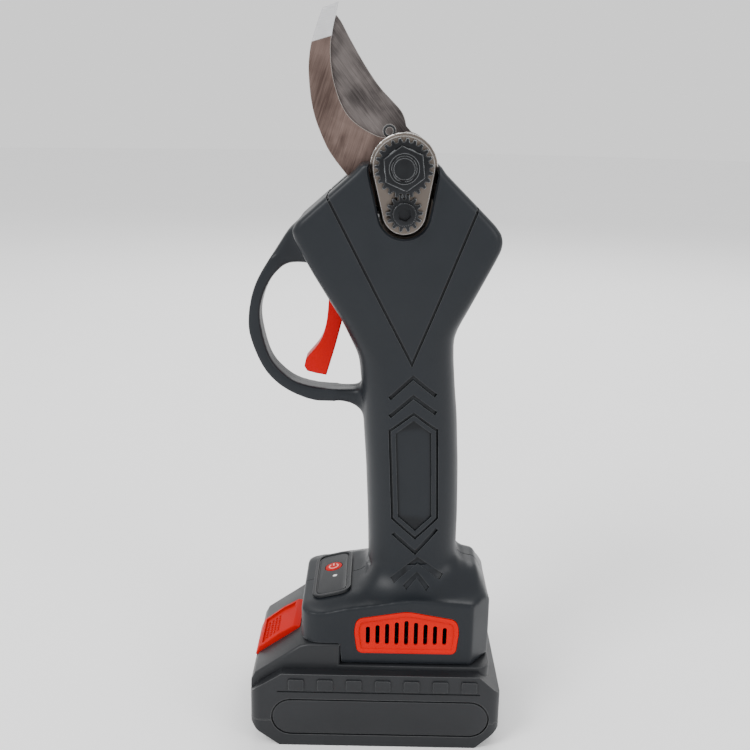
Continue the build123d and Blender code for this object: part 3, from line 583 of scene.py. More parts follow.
    def relax(self, rounds: int, test: Callable[[Vector], bool]) -> "Piece":
        """Smooths the points that pass the test.

        Args:
            rounds: How many times they are smoothed.
            test: Takes a point, and says whether it is smoothed.

        Returns:
            The piece.
        """
        with self.editing() as mesh:
            for vertex in mesh.verts:
                vertex.select_set(test(vertex.co / MM))
            bmesh.update_edit_mesh(self.obj.data)
            bpy.ops.mesh.vertices_smooth(factor=0.5, repeat=rounds)
        return self

    def _apply(self, kind: str, **settings: object) -> "Piece":
        """Adds a modifier, sets it and applies it.

        Args:
            kind: The modifier's type.
            **settings: Its properties.

        Returns:
            The piece.
        """
        modifier = self.obj.modifiers.new("shape", kind)
        for name, value in settings.items():
            setattr(modifier, name, value)
        only(self.obj)
        bpy.ops.object.modifier_apply(modifier=modifier.name)
        return self

    def _combine(self, tools: Sequence["Piece"], operation: str) -> "Piece":
        """Combines the piece with tools that are used up.

        Args:
            tools: The other pieces.
            operation: The modifier's word for what is done.

        Returns:
            The piece.
        """
        for tool in tools:
            # Where the quick solver fails, it leaves the mesh as it is.
            before = len(self.obj.data.vertices)
            self._apply("BOOLEAN", operation=operation, solver="MANIFOLD", object=tool.obj)
            if len(self.obj.data.vertices) == before:
                LOG.info("exact solver for %s", self.obj.name)
                self._apply("BOOLEAN", operation=operation, solver="EXACT", object=tool.obj)
            bpy.data.objects.remove(tool.obj)
        return self

    def add(self, *tools: "Piece") -> "Piece":
        """Adds other pieces to this one."""
        return self._combine(tools, "UNION")

    def cut(self, *tools: "Piece") -> "Piece":
        """Cuts other pieces out of this one."""
        return self._combine(tools, "DIFFERENCE")

    def keep(self, *tools: "Piece") -> "Piece":
        """Keeps only what lies inside the other pieces."""
        return self._combine(tools, "INTERSECT")

    def remesh(self, voxel: float) -> "Piece":
        """Rebuilds the surface with even faces."""
        return self._apply("REMESH", mode="VOXEL", voxel_size=voxel * MM)

    def hand_over(self, name: str, body: str, slot: str, finish: "Finish",
                  nodes: Sequence[str] = (), smooth: float = 32.0) -> "Piece":
        """Names the finished piece, dresses it and ties it to its CAD body.

        Args:
            name: The piece's name.
            body: The CAD body that it rides on.
            slot: The record's material slot; not used.
            finish: The finish of its surface.
            nodes: The CAD nodes that it stands for.
            smooth: The angle under which edges are shaded smooth, in degrees.

        Returns:
            The piece.
        """
        self.obj.name = name
        self.obj.data.name = name
        only(self.obj)
        bpy.ops.object.shade_smooth_by_angle(angle=math.radians(smooth))
        self.obj.data.materials.clear()
        self.obj.data.materials.append(finish.material())
        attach(self.obj, body)
        if nodes:
            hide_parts(*nodes)
        LOG.info("%s: %d faces, rides on %s", name, len(self.obj.data.polygons), body)
        return self


def hexagon(middle: Triple, flats: float, length: float, turn: float = 0.0) -> Piece:
    """Adds a hexagonal bar along Y; flats is its width across flats, turn is in degrees."""
    return Piece.rod(middle, flats / math.sqrt(3), length, sides=6, turn=turn)


# ------------------------------------------------------------------ finishes
class Value:
    """A shader number or colour that can be used in Python expressions."""

    def __init__(self, tree: "Tree", socket: bpy.types.NodeSocket) -> None:
        """Wraps an output socket of a node in that tree."""
        self.tree = tree
        self.socket = socket

    def _math(self, operation: str, *terms: "Value | float") -> "Value":
        """Adds a Math node on these terms."""
        return self.tree.node("ShaderNodeMath", {"operation": operation}, dict(enumerate(terms)))

    def __add__(self, other: "Value | float") -> "Value":
        """Adds a number."""
        return self._math("ADD", self, other)

    def __sub__(self, other: "Value | float") -> "Value":
        """Takes a number away."""
        return self._math("SUBTRACT", self, other)

    def __rsub__(self, other: float) -> "Value":
        """Takes this value away from a number."""
        return self._math("SUBTRACT", other, self)

    def __mul__(self, other: "Value | float") -> "Value":
        """Multiplies by a number."""
        return self._math("MULTIPLY", self, other)

    __radd__ = __add__
    __rmul__ = __mul__

    def between(self, low: float, high: float) -> "Value":
        """Rises smoothly from 0 at low to 1 at high."""
        settings = {"interpolation_type": "SMOOTHSTEP"}
        return self.tree.node("ShaderNodeMapRange", settings, {0: self, 1: low, 2: high, 3: 0.0, 4: 1.0})


class Tree:
    """The node tree of one material."""

    def __init__(self, name: str) -> None:
        """Makes an empty material with a Principled shader.

        Args:
            name: The material's name.
        """
        self.made = bpy.data.materials.new(name)
        self.made.use_nodes = True
        self.nodes = self.made.node_tree.nodes
        self.links = self.made.node_tree.links
        self.shader = next(n for n in self.nodes if n.type == "BSDF_PRINCIPLED")

    def _feed(self, socket: bpy.types.NodeSocket, value: object) -> None:
        """Links or sets one input socket.

        Args:
            socket: The socket.
            value: A value to link, or a number, a vector or a colour to set.
        """
        if isinstance(value, Value):
            self.links.new(value.socket, socket)
        elif isinstance(value, (tuple, list)) and len(value) == 3 and socket.type == "RGBA":
            socket.default_value = (*value, 1.0)
        else:
            socket.default_value = value

    def node(self, kind: str, settings: dict[str, object], inputs: dict[int | str, object],
             output: int | str = 0) -> Value:
        """Adds a node.

        Args:
            kind: The node's type.
            settings: Its properties, which are set first.
            inputs: The values or links of its input sockets, by name or number.
            output: The output that is returned.

        Returns:
            That output.
        """
        made = self.nodes.new(kind)
        for name, value in settings.items():
            setattr(made, name, value)
        for name, value in inputs.items():
            self._feed(made.inputs[name], value)
        return Value(self, made.outputs[output])

    def place(self, scale: Triple = (1, 1, 1), turn: Triple = (0, 0, 0)) -> Value:
        """Gives the object's own coordinates, turned and then scaled.

        Args:
            scale: The scale along each axis.
            turn: The turn about each axis, in radians.

        Returns:
            The coordinates.
        """
        at = self.node("ShaderNodeTexCoord", {}, {}, "Object")
        turned = self.node("ShaderNodeMapping", {}, {"Vector": at, "Rotation": turn})
        return self.node("ShaderNodeMapping", {}, {"Vector": turned, "Scale": scale})

    def axes(self) -> tuple[Value, Value, Value]:
        """Gives the object's x, y and z in metres.

        Returns:
            The three values.
        """
        at = self.node("ShaderNodeTexCoord", {}, {}, "Object")
        parts = self.node("ShaderNodeSeparateXYZ", {}, {0: at})
        outputs = parts.socket.node.outputs
        return parts, Value(self, outputs[1]), Value(self, outputs[2])

    def noise(self, where: Value, scale: float, detail: float = 3.0) -> Value:
        """Adds a noise of about 0 to 1 whose lumps are 1/scale metres."""
        return self.node("ShaderNodeTexNoise", {}, {"Vector": where, "Scale": scale, "Detail": detail}, 0)

    def blend(self, share: "Value | float", one: object, two: object) -> Value:
        """Mixes two colours."""
        return self.node("ShaderNodeMix", {"data_type": "RGBA"}, {0: share, 6: one, 7: two}, 2)

    def edge_wear_and_highlight(self, radius_mm: float = 0.6) -> Value:
        """Finds the outer edges, where a surface is rubbed and where a painted edge highlight goes, to that
        distance from the edge.

        Args:
            radius_mm: The distance, in millimetres.

        Returns:
            A mask that is 1 on the outer edges.
        """
        soft = self.node("ShaderNodeBevel", {"samples": 6}, {"Radius": radius_mm * MM})
        true = self.node("ShaderNodeNewGeometry", {}, {}, "Normal")
        same = self.node("ShaderNodeVectorMath", {"operation": "DOT_PRODUCT"}, {0: soft, 1: true}, "Value")
        outer = self.node("ShaderNodeNewGeometry", {}, {}, "Pointiness").between(0.505, 0.53)
        # The mask marks rubbed edges and the painted edge highlight on them.
        return (1 - same).between(0.015, 0.09) * outer

    def bump(self, height: Value, depth_mm: float, strength: float = 1.0) -> Value:
        """Turns a height of 0 to 1 into a normal; depth_mm is the height of 1."""
        inputs = {"Height": height, "Distance": depth_mm * MM, "Strength": strength}
        return self.node("ShaderNodeBump", {}, inputs)

    def dress(self, **inputs: object) -> bpy.types.Material:
        """Feeds the shader's sockets, named with underscores for spaces, and returns the material.

        Args:
            **inputs: The value or the link of each socket.

        Returns:
            The material.
        """
        for name, value in inputs.items():
            self._feed(self.shader.inputs[name.replace("_", " ")], value)
        return self.made


class Finish:
    """A finish that can be put on a piece."""

    name: str

    def material(self) -> bpy.types.Material:
        """Returns the finish's material, made when it is first used."""
        name = self.name + "_finish"
        return bpy.data.materials.get(name) or self.build(Tree(name))

    def build(self, tree: Tree) -> bpy.types.Material:
        """Makes the material; each finish has its own way."""
        raise NotImplementedError


@dataclass(frozen=True)
class MouldedPlastic(Finish):
    """Moulded plastic with a fine spark-eroded grain, soft smudges, lighter rubbed edges with a painted edge
    highlight and, where set, painted shade in its grooves.

    Args:
        name: The finish's name.
        colour: Its linear colour.
        roughness: Its roughness.
        grain: The size of the grain, in millimetres.
        depth: The depth of the grain, in millimetres.
        rubbed_and_highlit: How much lighter its edges are, as rubbed wear and a painted edge highlight.
        shine: The strength of its reflections.
        painted_groove_shade: How much darker its grooves are painted, as painted shade.
    """

    name: str
    colour: Triple
    roughness: float = 0.5
    grain: float = 0.35
    depth: float = 0.03
    rubbed_and_highlit: float = 0.05
    shine: float = 0.5
    painted_groove_shade: float = 0.0

    def build(self, tree: Tree) -> bpy.types.Material:
        """Makes the grain, the smudges, the rubbed edges with their painted edge highlight and the painted
        shade in the grooves.

        Args:
            tree: The tree of the new material.

        Returns:
            The material.
        """
        where = tree.place()
        grain = tree.noise(where, 1 / (self.grain * MM), 2.0)
        smudge = tree.noise(where, 22, 4.0)
        cloud = tree.noise(where, 90, 3.0)
        deep = tuple(c * 0.82 for c in self.colour)
        pale = tuple(min(1.0, c * 1.18 + 0.002) for c in self.colour)
        body = tree.blend(smudge * 0.6 + cloud * 0.4, deep, pale)
        # Lighter outer edges: rubbed wear and a painted edge highlight.
        edge = tuple(min(1.0, c + self.rubbed_and_highlit) for c in self.colour)
        base = tree.blend(tree.edge_wear_and_highlight() * 0.7, body, edge)
        # Painted shade: concave places, found by pointiness, are darkened towards a quarter of the colour.
        if self.painted_groove_shade:
            flat = tree.node("ShaderNodeNewGeometry", {}, {}, "Pointiness").between(0.44, 0.495)
            base = tree.blend((1 - flat) * self.painted_groove_shade, base, tuple(c * 0.25 for c in self.colour))
        rough = self.roughness + (smudge - 0.5) * 0.22 + (cloud - 0.5) * 0.1
        return tree.dress(Base_Color=base, Roughness=rough, Specular_IOR_Level=self.shine,
                          Normal=tree.bump(grain, self.depth, 0.6))


@dataclass(frozen=True)
class GroundSteel(Finish):
    """Ground steel with fine lines along one direction, darker patches and bright edges: rubbed edges that
    carry a painted edge highlight, and a freshly ground tip where one is given.

    Args:
        name: The finish's name.
        colour: Its linear colour.
        dark: The colour of its darker patches.
        lean: The direction of the lines, as a turn about Y in degrees from upright.
        roughness: Its roughness.
        lines: The depth of the lines, in millimetres.
        bright_tip: A line (x, z, x, z) in millimetres with freshly ground metal above it, or None.
    """

    name: str
    colour: Triple
    dark: Triple
    lean: float = 0.0
    roughness: float = 0.3
    lines: float = 0.012
    bright_tip: tuple[float, float, float, float] | None = None

    def build(self, tree: Tree) -> bpy.types.Material:
        """Makes the lines, the patches and the bright edges.

        Args:
            tree: The tree of the new material.

        Returns:
            The material.
        """
        turn = (0, math.radians(self.lean), 0)
        fine = tree.noise(tree.place((9000, 900, 160), turn), 1, 2.0)
        broad = tree.noise(tree.place((1500, 400, 50), turn), 1, 3.0)
        band = tree.noise(tree.place((420, 200, 26), turn), 1, 3.0)
        patch = tree.noise(tree.place(), 44, 3.0).between(0.36, 0.6)
        streak = fine * 0.35 + broad * 0.3 + band * 0.35
        base = tree.blend(patch * 0.55 + (streak - 0.42) * 2.4, self.colour, self.dark)
        # Outer edges lightened towards pale steel: rubbed wear and a painted edge highlight.
        base = tree.blend(tree.edge_wear_and_highlight(0.5) * 0.75, base, (0.62, 0.6, 0.58))
        rough = self.roughness + (streak - 0.5) * 0.35 + patch * 0.06
        if self.bright_tip:
            x, _, z = tree.axes()
            x0, z0, x1, z1 = (v * MM for v in self.bright_tip)
            length = math.hypot(x1 - x0, z1 - z0)
            above = (x * ((z0 - z1) / length)) + z * ((x1 - x0) / length)
            edge_at = (x0 * (z0 - z1) + z0 * (x1 - x0)) / length
            tip = above.between(edge_at - 0.0001, edge_at + 0.0001)
            cross = tree.noise(tree.place((6000, 900, 300), (0, math.radians(self.lean - 60), 0)), 1, 2.0)
            base = tree.blend(tip, base, tree.blend(cross, (0.5, 0.5, 0.51), (0.78, 0.78, 0.79)))
            rough = rough * (1 - tip) + (cross * 0.3 + 0.3) * tip
        return tree.dress(Base_Color=base, Metallic=1.0, Roughness=rough,
                          Normal=tree.bump(streak, self.lines, 0.7))


@dataclass(frozen=True)
class CastMetal(Finish):
    """Satin metal with a fine blasted grain, stains and bright edges, which are rubbed wear with a painted
    edge highlight.

    Args:
        name: The finish's name.
        colour: Its linear colour.
        roughness: Its roughness.
        metallic: How metallic it is.
        grain: The size of the grain, in millimetres.
        depth: The depth of the grain, in millimetres.
        bare_and_highlit: The colour of its rubbed edges, which also carries a painted edge highlight.
    """

    name: str
    colour: Triple
    roughness: float = 0.4
    metallic: float = 1.0
    grain: float = 0.25
    depth: float = 0.02
    bare_and_highlit: Triple = (0.6, 0.6, 0.6)

    def build(self, tree: Tree) -> bpy.types.Material:
        """Makes the grain, the stains and the bright edges.

        Args:
            tree: The tree of the new material.

        Returns:
            The material.
        """
        where = tree.place()
        grain = tree.noise(where, 1 / (self.grain * MM), 3.0)
        stain = tree.noise(where, 140, 4.0)
        base = tree.blend(stain, tuple(c * 0.72 for c in self.colour), tuple(c * 1.2 for c in self.colour))
        # Outer edges lightened towards the edge colour: rubbed wear and a painted edge highlight.
        base = tree.blend(tree.edge_wear_and_highlight(0.7) * 0.75, base, self.bare_and_highlit)
        rough = self.roughness + (stain - 0.5) * 0.25 + (grain - 0.5) * 0.12
        return tree.dress(Base_Color=base, Metallic=self.metallic, Roughness=rough,
                          Normal=tree.bump(grain, self.depth, 0.6))


@dataclass(frozen=True)
class Lacquered(Finish):
    """A smooth coated surface with thin lines under the coat, as on a circuit board or a wrapped cell.

    Args:
        name: The finish's name.
        colour: The ground's linear colour.
        marks: The colour of the lines.
        size: The size of the pattern, in millimetres.
    """

    name: str
    colour: Triple
    marks: Triple
    size: float = 3.0

    def build(self, tree: Tree) -> bpy.types.Material:
        """Makes the lines under the coat.

        Args:
            tree: The tree of the new material.

        Returns:
            The material.
        """
        where = tree.place()
        cells = tree.node("ShaderNodeTexVoronoi", {"feature": "DISTANCE_TO_EDGE", "distance": "MANHATTAN"},
                          {"Vector": where, "Scale": 1 / (self.size * MM), "Randomness": 0.6}, "Distance")
        lines = 1 - cells.between(0.02, 0.06)
        base = tree.blend(lines * 0.5, self.colour, self.marks)
        rough = tree.noise(where, 300, 3.0) * 0.2 + 0.25
        return tree.dress(Base_Color=base, Roughness=rough, Coat_Weight=0.4, Normal=tree.bump(lines, 0.02))


@dataclass(frozen=True)
class PaleFloor(Finish):
    """A plain pale studio floor with a faint unevenness."""

    name: str = "pale_floor"

    def build(self, tree: Tree) -> bpy.types.Material:
        """Makes the faint unevenness.

        Args:
            tree: The tree of the new material.

        Returns:
            The material.
        """
        cloud = tree.noise(tree.place(), 6, 2.0)
        base = tree.blend(cloud, (0.93, 0.93, 0.935), (0.96, 0.96, 0.96))
        return tree.dress(Base_Color=base, Roughness=0.9, Specular_IOR_Level=0.1)


# In each plastic the sixth number lightens edges as rubbed wear and painted edge highlight; the housing's
# last number, 0.7, is its painted shade in grooves.
HOUSING_BLACK = MouldedPlastic("housing_black", (0.0105, 0.0125, 0.0155), 0.38, 0.3, 0.025, 0.04, 0.2, 0.7)
BATTERY_BLACK = MouldedPlastic("battery_black", (0.0125, 0.0135, 0.0155), 0.42, 0.45, 0.05, 0.08, 0.28)
PANEL_BLACK = MouldedPlastic("panel_black", (0.008, 0.009, 0.011), 0.38, 0.25, 0.012, 0.04, 0.28)
GRILLE_RED = MouldedPlastic("grille_red", (0.54, 0.004, 0.0015), 0.42, 0.3, 0.015, 0.02, 0.05)
BUTTON_RED = MouldedPlastic("button_red", (0.44, 0.003, 0.0018), 0.44, 0.3, 0.02, 0.02, 0.04)
TRIGGER_RED = MouldedPlastic("trigger_red", (0.40, 0.0012, 0.0025), 0.33, 0.4, 0.008, 0.02, 0.06)
POWER_RED = MouldedPlastic("power_red", (0.42, 0.004, 0.003), 0.34, 0.4, 0.008, 0.02, 0.06)
SYMBOL_PINK = MouldedPlastic("symbol_pink", (0.85, 0.34, 0.30), 0.4, 0.4, 0.005, 0.05)
LENS = MouldedPlastic("lens", (0.8, 0.8, 0.78), 0.15, 0.5, 0.003, 0.02)
TIP_LINE = (-35.0, 312.1, -21.0, 316.4)
HOOK_STEEL = GroundSteel("hook_steel", (0.22, 0.16, 0.14), (0.055, 0.036, 0.031), -18, 0.3, 0.014, TIP_LINE)
BLADE_STEEL = GroundSteel("blade_steel", (0.21, 0.185, 0.178), (0.032, 0.028, 0.028), 38, 0.3, 0.014)
# Each metal's last colour, where given, lightens its outer edges as rubbed wear and a painted edge highlight.
BRACKET_METAL = CastMetal("bracket_metal", (0.145, 0.124, 0.108), 0.36, 1.0, 0.3, 0.02, (0.95, 0.95, 0.94))
BLACK_OXIDE = CastMetal("black_oxide", (0.026, 0.027, 0.029), 0.3, 1.0, 0.25, 0.02, (0.3, 0.31, 0.32))
FINISHES: dict[str, Finish] = {
    "lens": LENS,
    "bracket_metal": BRACKET_METAL,
    "black_oxide": BLACK_OXIDE,
    "gear_steel": CastMetal("gear_steel", (0.42, 0.42, 0.42), 0.32, 1.0, 0.5, 0.01),
    "screw_steel": CastMetal("screw_steel", (0.3, 0.3, 0.31), 0.35, 1.0, 0.4, 0.01),
    "bronze": CastMetal("bronze", (0.62, 0.40, 0.19), 0.4, 1.0, 0.2, 0.02, (0.8, 0.6, 0.35)),
    "motor_steel": CastMetal("motor_steel", (0.3, 0.3, 0.32), 0.36, 1.0, 0.8, 0.01),
    "magnet": CastMetal("magnet", (0.6, 0.6, 0.62), 0.18, 1.0, 1.0, 0.004),
    "board_green": Lacquered("board_green", (0.015, 0.13, 0.055), (0.05, 0.26, 0.12)),
    "part_black": MouldedPlastic("part_black", (0.022, 0.022, 0.023), 0.35),
    "contact_brass": CastMetal("contact_brass", (0.72, 0.55, 0.24), 0.26, 1.0, 0.6, 0.006, (0.9, 0.75, 0.45)),
    "wire_red": MouldedPlastic("wire_red", (0.5, 0.03, 0.02), 0.5),
    "cell_wrap": Lacquered("cell_wrap", (0.05, 0.22, 0.4), (0.06, 0.25, 0.45), 12.0),
    "spring_steel": CastMetal("spring_steel", (0.5, 0.5, 0.5), 0.25, 1.0, 0.3, 0.01),
}


# ------------------------------------------------------------------ the tool's sub-assemblies
@dataclass
class Studio:
    """The camera, the soft lights and the pale floor.

    Args:
        distance: How far in front of the tool the camera stands.
        height: How high it stands.
        aside: Its place along X.
        pitch: How far it looks down, in degrees.
        roll: How far it leans, in degrees.
        lens: Its focal length in millimetres.
        sensor: The width of its sensor.
        lights: The name, the place, the size and the power in watts of each light.
        aim: The point that the lights shine at.
        surroundings: The brightness of the white surroundings.
        floor_radius: The radius of the floor.
        floor_thick: Its thickness.
    """

    distance: float = 448.5
    height: float = 288.6
    aside: float = -2.9
    pitch: float = 15.0
    roll: float = 1.1
    lens: float = 48.67
    sensor: float = 36.0
    lights: tuple[tuple[str, Triple, float, float], ...] = (
        ("key", (-900, -900, 1300), 600, 19), ("fill", (1100, -1000, 700), 500, 6),
        ("back", (200, 1200, 1200), 900, 13))
    aim: Triple = (0, 0, 160)
    surroundings: float = 1.15
    floor_radius: float = 6000
    floor_thick: float = 5

    def camera(self) -> None:
        """Sets the camera up."""
        made = bpy.data.cameras.new("camera")
        made.lens = self.lens
        made.sensor_width = self.sensor
        made.clip_start, made.clip_end = 0.02, 50
        stand = bpy.data.objects.new("camera", made)
        bpy.context.scene.collection.objects.link(stand)
        stand.location = (self.aside * MM, -self.distance * MM, self.height * MM)
        pitch = Matrix.Rotation(math.radians(90 - self.pitch), 3, "X")
        roll = Matrix.Rotation(math.radians(self.roll), 3, "Z")
        stand.rotation_euler = (pitch @ roll).to_euler()
        bpy.context.scene.camera = stand

    def light(self, name: str, place: Triple, size: float, power: float) -> None:
        """Hangs one square soft light that points at the middle of the tool.

        Args:
            name: The light's name.
            place: Where it hangs.
            size: The length of its sides.
            power: Its power, in watts.
        """
        lamp = bpy.data.lights.new(name, "AREA")
        lamp.size = size * MM
        lamp.energy = power
        stand = bpy.data.objects.new(name, lamp)
        bpy.context.scene.collection.objects.link(stand)
        stand.location = Vector(place) * MM
        stand.rotation_euler = (Vector(self.aim) - Vector(place)).to_track_quat("-Z", "Y").to_euler()

    def build(self) -> None:
        """Makes the camera, the lights, the surroundings and the floor."""
        self.camera()
        for name, place, size, power in self.lights:
            self.light(name, place, size, power)
        world = bpy.data.worlds.new("studio")
        world.use_nodes = True
        backdrop = world.node_tree.nodes["Background"]
        backdrop.inputs["Color"].default_value = (1, 1, 1, 1)
        backdrop.inputs["Strength"].default_value = self.surroundings
        bpy.context.scene.world = world
        middle = (0, 0, -self.floor_thick / 2)
        floor = Piece.rod(middle, self.floor_radius, self.floor_thick, Axis.Z, sides=64)
        floor.bevel(2.0, 2)
        floor.obj.name = "floor"
        floor.obj.data.materials.append(PaleFloor().material())


@dataclass
class Housing:
    """The two moulded shells: the head, the grip, the foot and the finger guard.

    Args:
        wall: The thickness of the shells.
        parting: The gap between the two shells.
        head_half: Half the head's width.
        foot_half: Half the foot's width.
        foot_low: The underside of the foot.
        guard_half: Half the guard's width.
        front: The front edge of the grip and the head, as (z, x).
        back: Their back edge, as (z, x).
        half: Their half width, as (z, y).
        corner: The radius of their corners, as (z, radius).
        screws: The screws that join the shells, as (x, z).
        boss: The radius of the screw bosses.
        screw_hole: The radius of the screws' holes.
        screw_head: The radius of the recesses for their heads.
        ridge: The height of the foot's top along its side edges, as (x, z).
        crown: Its height along the middle, as (x, z).
        body_low: Where the body starts, inside the foot.
        body_top: The top of the head.
        slices: The number of steps that the body is lofted in.
        foot_ends: The front and the back of the foot.
        foot_corner: The radius of its front corners.
        grip_middle: The middle of the grip along X, where it meets the foot.
        grip_flat: Half the lengths of the grip's straight sides there, along X and Y.
        grip_round: The radius of its corners there.
        fillet: The fillet between the grip and the foot, at the front and back and at the sides.
        motor_lean: How far the motor leans over, in degrees.
        motor_bore: The radius of the motor's seat in the ribs.
        gearbox_bore: The radii of the gearbox's seat, for the ring gear and for the plate under it.
    """

    wall: float = 2.4
    parting: float = 0.1
    head_half: float = 24.0
    foot_half: float = 32.0
    foot_low: float = 39.2
    guard_half: float = 6.5
    front: Outline = ((84, -4.5), (104, -5.1), (128, -6.3), (152, -8.1), (166, -8.9), (180, -10.2),
                      (196.5, -17.6), (219, -31), (236.8, -40.5), (264.5, -9.3))
    back: Outline = ((84, 36.9), (104, 36.9), (128, 36.3), (152, 34.9), (166, 33.3), (180, 32.0),
                     (189.5, 31.6), (194, 33), (231, 50.6), (236.5, 50), (263.8, 22))
    half: Outline = ((84, 20), (158, 20), (178, 20.8), (207, 24), (270, 24))
    corner: Outline = ((84, 15.5), (150, 15.5), (176, 12.5), (200, 8), (225, 4.6), (245, 3.6), (264, 3.4))
    screws: Outline = ((-29.5, 233.0), (40.5, 235.5), (37.0, 214.0), (-0.5, 124.0), (31.0, 124.0),
                       (-24.0, 57.5), (45.5, 68.0))
    boss: float = 3.9
    screw_hole: float = 1.42
    screw_head: float = 2.9
    ridge: Outline = ((-36, 63.6), (-22.6, 64.6), (-15.3, 66.5), (-1.2, 68.7), (9.2, 70.6), (17, 71.4),
                      (27.4, 70.8), (43.9, 69.4), (53, 68.6))
    crown: Outline = ((-36, 64.26), (-8, 71.2), (0, 72), (20, 73), (30, 76), (37, 81), (44.5, 80),
                      (46.5, 79.2), (50.4, 72), (52.6, 65.5), (54, 61))
    body_low: float = 80.0
    body_top: float = 264.5
    slices: int = 52
    foot_ends: Pair = (-34.8, 52.4)
    foot_corner: float = 9.0
    grip_middle: float = 16.2
    grip_flat: Pair = (5.2, 4.5)
    grip_round: float = 15.5
    fillet: Pair = (12.0, 5.0)
    motor_lean: float = -2.0
    motor_bore: float = 14.55
    gearbox_bore: Pair = (17.8, 17.0)

    def body(self, shrink: float = 0.0) -> Piece:
        """Lofts the grip and the head, grown inwards by shrink.

        Args:
            shrink: How far the walls move in.

        Returns:
            The closed form.
        """
        rings = []
        low, high = self.body_low, self.body_top - shrink
        for n in range(self.slices + 1):
            z = low + (high - low) * n / self.slices
            edges = []
            for line, sign in ((self.front, 1), (self.back, -1)):
                slope = (rounded_level(line, z + 1.5) - rounded_level(line, z - 1.5)) / 3
                edges.append(rounded_level(line, z) + sign * shrink * math.hypot(1, slope))
            half = rounded_level(self.half, z, 8) - shrink
            radius = max(1.0, rounded_level(self.corner, z) - shrink)
            ring = rounded_box_ring((edges[0], -half), (edges[1], half), radius)
            rings.append([(x, y, z) for x, y in ring])
        return Piece.loft(rings)

    def foot_top(self, x: float, y: float) -> float:
        """Gives the height of the foot's top at a place.

        Args:
            x: The place along X.
            y: The place along Y.

        Returns:
            The height above the ground.
        """
        side = abs(y)
        inner = level(((-10, 21), (37, 8)), x)
        share = ease(inner, self.foot_half, side)
        base = level(self.crown, x) * (1 - share) + level(self.ridge, x) * share
        across, along = side - self.grip_flat[1], abs(x - self.grip_middle) - self.grip_flat[0]
        gap = math.hypot(max(across, 0), max(along, 0)) - self.grip_round
        heading = abs(math.atan2(along + self.grip_flat[0], side + 0.01))
        reach = self.fillet[0] - (self.fillet[0] - self.fillet[1]) * ease(0.7, 1.4, heading)
        if gap >= reach:
            return base
        return base + reach - math.sqrt(max(0.0, reach ** 2 - (reach - max(gap, 0.0)) ** 2))

    def foot(self, shrink: float = 0.0) -> Piece:
        """Shapes the foot from a grid, grown inwards by shrink.

        Args:
            shrink: How far the walls move in.

        Returns:
            The closed form.
        """
        x0, x1, half = -36.0, 54.0, self.foot_half + 1
        bpy.ops.object.select_all(action="DESELECT")
        bpy.ops.mesh.primitive_grid_add(x_subdivisions=90, y_subdivisions=66, size=1)
        grid = Piece(bpy.context.object)
        for vertex in grid.obj.data.vertices:
            x = x0 + (x1 - x0) * (vertex.co.x + 0.5)
            y = 2 * half * vertex.co.y
            vertex.co = Vector((x, y, self.foot_top(x, y) - shrink)) * MM
        with grid.editing() as mesh:
            bpy.ops.mesh.select_all(action="SELECT")
            bpy.ops.mesh.extrude_region_move(TRANSFORM_OT_translate={"value": (0, 0, -0.02)})
            mesh = bmesh.from_edit_mesh(grid.obj.data)
            for vertex in mesh.verts:
                if vertex.select:
                    vertex.co.z = (self.foot_low + shrink) * MM
            bmesh.update_edit_mesh(grid.obj.data)
        y_in = self.foot_half - shrink
        front, back = self.foot_ends[0] + shrink, self.foot_ends[1] - shrink
        plan = arc((front + self.foot_corner, -y_in + self.foot_corner), self.foot_corner, 180, 270, 10)
        plan += [(43.5 - shrink * 0.4, -y_in), (back, -20 + shrink * 0.4)]
        plan += [(x, -y) for x, y in reversed(plan)]
        return grid.outwards().keep(Piece.plate(plan, 30, 120, Axis.Z))

    def guard(self) -> Piece:
        """Draws the finger guard as a rounded band.

        Returns:
            The band.
        """
        outer = curve([(-35.5, 238.5), (-40.6, 236.4), (-46.6, 227.7), (-56.7, 210.4), (-60.0, 194),
                       (-57.9, 182.4), (-52, 170.4), (-43.4, 162.6), (-31.5, 157.6), (-20.5, 157.0),
                       (-12.5, 155.4), (-4, 148)])
        inner = curve([(-24, 219), (-36.6, 220.2), (-43.4, 219.2), (-49.6, 213), (-53.6, 204), (-54.6, 194),
                       (-50.8, 178.6), (-44.6, 170.4), (-36.5, 165.4), (-24, 163.2), (-4, 163.2)])
        band = Piece.plate(outer + inner[::-1], -self.guard_half, self.guard_half)
        return band.bevel(2.1, 4, 50, lambda at, way: abs(way.y) < 0.5)

    def outside(self) -> Piece:
        """Joins the outer forms into one skin with soft corners and junctions.

        Returns:
            The solid skin.
        """
        skin = self.body().add(self.foot(), self.guard()).remesh(0.9)
        skin.relax(4, lambda at: True)
        ends = (Vector((-38, 0, 227)), Vector((-9, 0, 158)))
        skin.relax(24, lambda at: any((at - end).length < 13 for end in ends))
        skin.relax(10, lambda at: 84 < at.z < 100)
        return skin

    def core(self) -> Piece:
        """Makes the hollow inside, with the screw bosses, the ribs and the rails left standing.

        Returns:
            The hollow, as a solid.
        """
        hollow = self.body(self.wall).add(self.foot(self.wall))
        bosses = [Piece.rod((x, 0, z), self.boss, 62, sides=24) for x, z in self.screws]
        centre, down = joint_line("motor_spin")
        motor = Piece.rod(tuple(centre + down * 70), self.motor_bore, 60, Axis.Z, lean=self.motor_lean)
        ribs = [Piece.box((-20, -30, z), (50, 30, z + 2)).cut(motor.copy()) for z in (150, 178)]
        bpy.data.objects.remove(motor.obj)
        rails = [Piece.box((-13.2, y, self.foot_low - 1), (48.5, y + 10.6, 43.8)) for y in (18.4, -29.0)]
        return hollow.cut(*bosses, *ribs, *rails)

